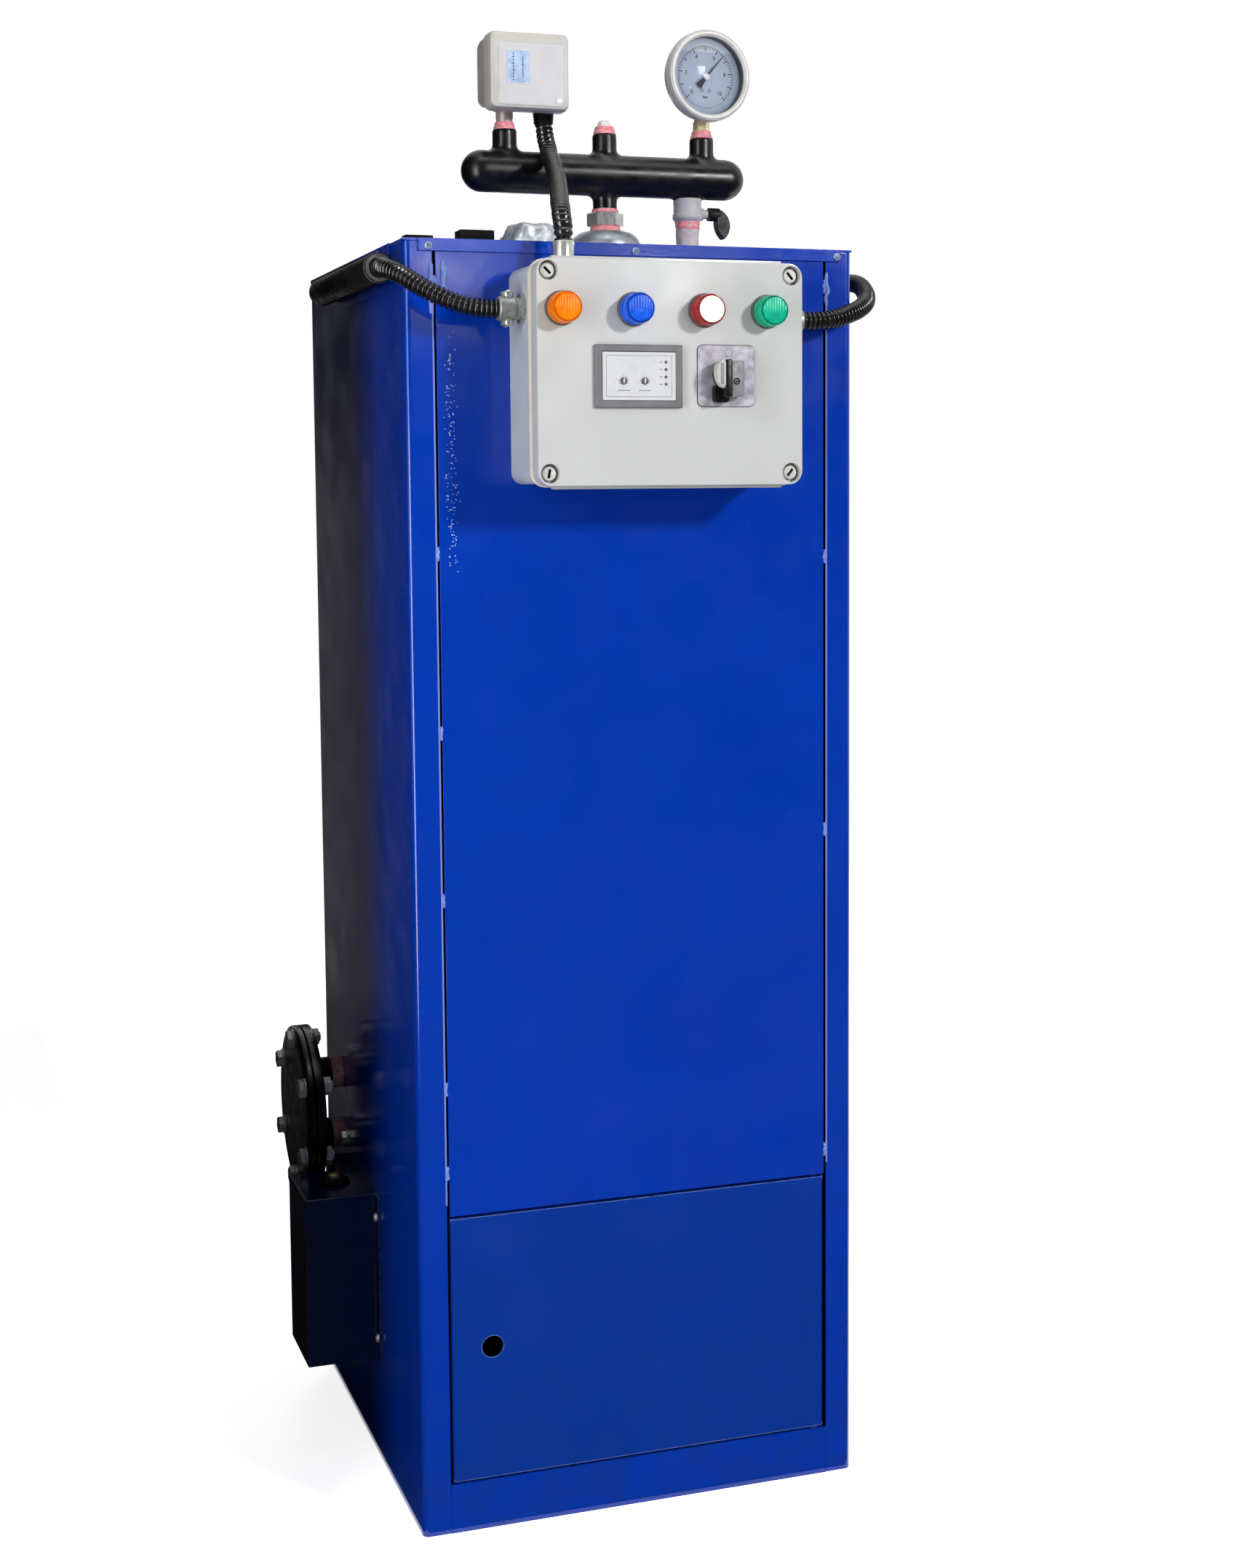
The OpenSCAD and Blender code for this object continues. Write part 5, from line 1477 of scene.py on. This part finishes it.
def make_pump_screws():
    low, high = node_box("pump_box")
    screws = Shape()
    head = [(4, -0.2), (4, 0.8), (3.4, 1.8), (2, 2.4)]
    for z in (high.z - 21, low.z + 24):
        screws.turned(head, (PUMP_SCREW_X, low.y + 8, z), -X, 24)
    add_piece("pump_screws", screws, [bolt_zinc])


def make_sleeve_lip():
    """The turned-back rim at the sleeve's front end, round the left conduit."""
    end = Vector(ROUTES["left_conduit"][-1])
    place = (end.x, node_box("conduit_sleeve")[0].y - 0.6, end.z)
    inner = CONDUIT_D / 2 + 0.6
    outer = inner + 4.2
    lip = Shape()
    lip.hoop([(inner, 0), (inner + 3, 0.6), (outer, 2), (outer, 4), (inner + 3, 5.4), (inner, 5.4)],
             place, Y, 40)
    add_piece("sleeve_lip", lip, [collar_dark])


def make_roof_pads():
    roof_z = node_box("roof")[1].z
    shape = Shape()
    for (x, y), sizes in ROOF_PADS:
        shape.block(*sizes, (x, y, roof_z), right=X, up=Y, out=Z)
    add_piece("roof_pad", shape, [black_rubber])


make_chamber_cover()
make_chamber_bolts()
dress(["pump_box"], pump_paint, 1.6)
make_grommet()
make_brass_union()
make_pump_screws()
dress(["conduit_sleeve", "right_grommet"], black_rubber, 0.8)
make_sleeve_lip()
make_roof_pads()


# Floor, surroundings and lamps
FLOOR_GLOW = 0.86
AMBIENT = 0.15
FLOOR_SIZE = 8.0
CARD_FOOT = 0.003
SIDE_CARD_GAP = 0.12
SIDE_CARD_TOP = 1.9
SIDE_CARD_ENDS = (-0.235, 0.84, 1.9)
CORNER_CARD_ENDS = ((-1.34, -0.95), (-1.06, -1.25))
CORNER_CARD_TOP = 1.3
CORNER_CARD_GLOW = 6.0
BACK_CARD_PLACE = (0.9, 1.4)
BACK_CARD_TOP = 1.0
FRONT_CARD_GAP = 3.4
FRONT_CARD_HALF = 9
FRONT_CARD_TOP = 6
FAINT_GLOW = 0.01
# Each lamp's place and target, its size and its power
STUDIO_LAMPS = {
    "key": ((1.8, -3.3, 2.2), (0, 0, 0.8), (0.4, 0.4), 90),
    "fill": ((-1.1, -0.9, 1.0), (-0.2, -0.2, 0.9), (0.3, 1.7), 11),
    "overhead": ((0.1, -0.9, 3.2), (0, 0, 0.9), (1.6, 0.8), 8),
    "paint_glare": ((0.62, -3.3, 1.47), (-0.17, -0.2, 1.1), (0.15, 0.15), 0.8),
    "back": ((1.2, 2.6, 1.6), (0, 0.2, 0.8), (1.2, 1.2), 22),
    "lid_glare": ((1.09, -3.3, 1.38), (0, -0.3, 1.1), (0.12, 0.12), 0.9)}


def is_seen_ray(tree):
    """A value that is 1 for what the camera, a reflection or glass sees."""
    rays = tree.nodes.new("ShaderNodeLightPath")
    total = None
    for name in ("Is Camera Ray", "Is Glossy Ray", "Is Transmission Ray"):
        if total is None:
            total = rays.outputs[name]
            continue
        node = tree.nodes.new("ShaderNodeMath")
        node.operation = "MAXIMUM"
        tree.links.new(total, node.inputs[0])
        tree.links.new(rays.outputs[name], node.inputs[1])
        total = node.outputs["Value"]
    return total


def flat_corners(near, far, height=CARD_FOOT):
    """The corners of a level rectangle between two places."""
    return [(*near, height), (far[0], near[1], height), (*far, height), (near[0], far[1], height)]


def upright_corners(start, end, top, foot=CARD_FOOT):
    """The corners of an upright rectangle between two places."""
    return [(*start, foot), (*end, foot), (*end, top), (*start, top)]


def make_floor():
    data = bpy.data.meshes.new("studio_floor")
    half = FLOOR_SIZE / 2
    data.from_pydata(flat_corners((-half, -half), (half, half), 0), [], [(0, 1, 2, 3)])
    material = bpy.data.materials.new("studio_floor")
    material.use_nodes = True
    tree = material.node_tree
    shader = tree.nodes["Principled BSDF"]
    set_inputs(shader, {"Base Color": (0.85, 0.85, 0.85, 1), "Roughness": 0.8, "Specular IOR Level": 0.0})
    glow = tree.nodes.new("ShaderNodeEmission")
    glow.inputs["Color"].default_value = (1, 1, 1, 1)
    share = tree.nodes.new("ShaderNodeMath")
    share.operation = "MULTIPLY"
    share.inputs[1].default_value = FLOOR_GLOW
    tree.links.new(is_seen_ray(tree), share.inputs[0])
    tree.links.new(share.outputs["Value"], glow.inputs["Strength"])
    total = tree.nodes.new("ShaderNodeAddShader")
    tree.links.new(shader.outputs["BSDF"], total.inputs[0])
    tree.links.new(glow.outputs["Emission"], total.inputs[1])
    tree.links.new(total.outputs["Shader"], tree.nodes["Material Output"].inputs["Surface"])
    data.materials.append(material)
    floor = bpy.data.objects.new("studio_floor", data)
    scene.collection.objects.link(floor)


def make_world():
    world = bpy.data.worlds.new("white_studio")
    scene.world = world
    world.use_nodes = True
    tree = world.node_tree
    soft = tree.nodes["Background"]
    set_inputs(soft, {"Color": (1, 1, 1, 1), "Strength": AMBIENT})
    white = tree.nodes.new("ShaderNodeBackground")
    set_inputs(white, {"Color": (1, 1, 1, 1), "Strength": 1.0})
    mix = tree.nodes.new("ShaderNodeMixShader")
    tree.links.new(is_seen_ray(tree), mix.inputs["Fac"])
    tree.links.new(soft.outputs["Background"], mix.inputs[1])
    tree.links.new(white.outputs["Background"], mix.inputs[2])
    tree.links.new(mix.outputs["Shader"], tree.nodes["World Output"].inputs["Surface"])


def make_card(name, corners, glow, heights=None, shades=False):
    """A card out of the picture for the paint to reflect; its glow may fade between two heights.

    It only stops light if it also shades.
    """
    data = bpy.data.meshes.new(name)
    data.from_pydata(corners, [], [(0, 1, 2, 3)])
    material = bpy.data.materials.new(name)
    material.use_nodes = True
    tree = material.node_tree
    shader = tree.nodes["Principled BSDF"]
    set_inputs(shader, {
        "Base Color": (0.03, 0.028, 0.03, 1), "Roughness": 0.9, "Specular IOR Level": 0.0,
        "Emission Color": (1.0, 0.9, 0.92, 1), "Emission Strength": glow})
    if heights:
        split = tree.nodes.new("ShaderNodeSeparateXYZ")
        tree.links.new(tree.nodes.new("ShaderNodeTexCoord").outputs["Object"], split.inputs["Vector"])
        fade = tree.nodes.new("ShaderNodeMapRange")
        set_inputs(fade, {"From Min": heights[0], "From Max": heights[1], "To Min": glow, "To Max": 0.0})
        tree.links.new(split.outputs["Z"], fade.inputs["Value"])
        tree.links.new(fade.outputs["Result"], shader.inputs["Emission Strength"])
    data.materials.append(material)
    card = bpy.data.objects.new(name, data)
    card.visible_camera = False
    card.visible_transmission = False
    card.visible_diffuse = shades
    card.visible_shadow = shades
    scene.collection.objects.link(card)


def make_cards():
    """A dark room for the paint to reflect, as in the photo, and a bright strip off the left corner."""
    panel = node_box("left_panel")[0] * MM
    side = panel.x - 0.001
    left = cad_box[0][0] - SIDE_CARD_GAP
    near, split, far = SIDE_CARD_ENDS
    sheet = upright_corners((left, near), (left, split), SIDE_CARD_TOP)
    make_card("side_near_card", sheet, 0.0, shades=True)
    sheet = upright_corners((left, split), (left, far), SIDE_CARD_TOP)
    make_card("side_card", sheet, 0.06, heights=(0.9, 1.1), shades=True)
    make_card("corner_card", upright_corners(*CORNER_CARD_ENDS, CORNER_CARD_TOP), CORNER_CARD_GLOW)
    make_card("side_floor_card", flat_corners((left, near), (side, far)), 0.0)
    right, back = BACK_CARD_PLACE
    make_card("back_card", upright_corners((side, back), (right, back), BACK_CARD_TOP), FAINT_GLOW)
    rear = cad_box[1][1] + 0.01
    make_card("back_floor_card", flat_corners((side, rear), (right, back)), FAINT_GLOW)
    wall = cad_box[0][1] - FRONT_CARD_GAP
    half = FRONT_CARD_HALF
    make_card("front_card", upright_corners((-half, wall), (half, wall), FRONT_CARD_TOP, 0), FAINT_GLOW)
    make_card("front_floor_card", flat_corners((-half, wall), (half, panel.y - 0.002)), FAINT_GLOW)


def make_lamp(name, place, target, size, power):
    data = bpy.data.lights.new(name, "AREA")
    data.shape = "RECTANGLE"
    data.size, data.size_y = size
    data.energy = power
    lamp = bpy.data.objects.new(name, data)
    aim = Vector(target) - Vector(place)
    lamp.matrix_world = Matrix.Translation(place) @ aim.to_track_quat("-Z", "Y").to_matrix().to_4x4()
    lamp.visible_transmission = False
    scene.collection.objects.link(lamp)


make_floor()
make_world()
make_cards()
for lamp_name, lamp_settings in STUDIO_LAMPS.items():
    make_lamp(lamp_name, *lamp_settings)
scene.view_settings.view_transform = "Standard"
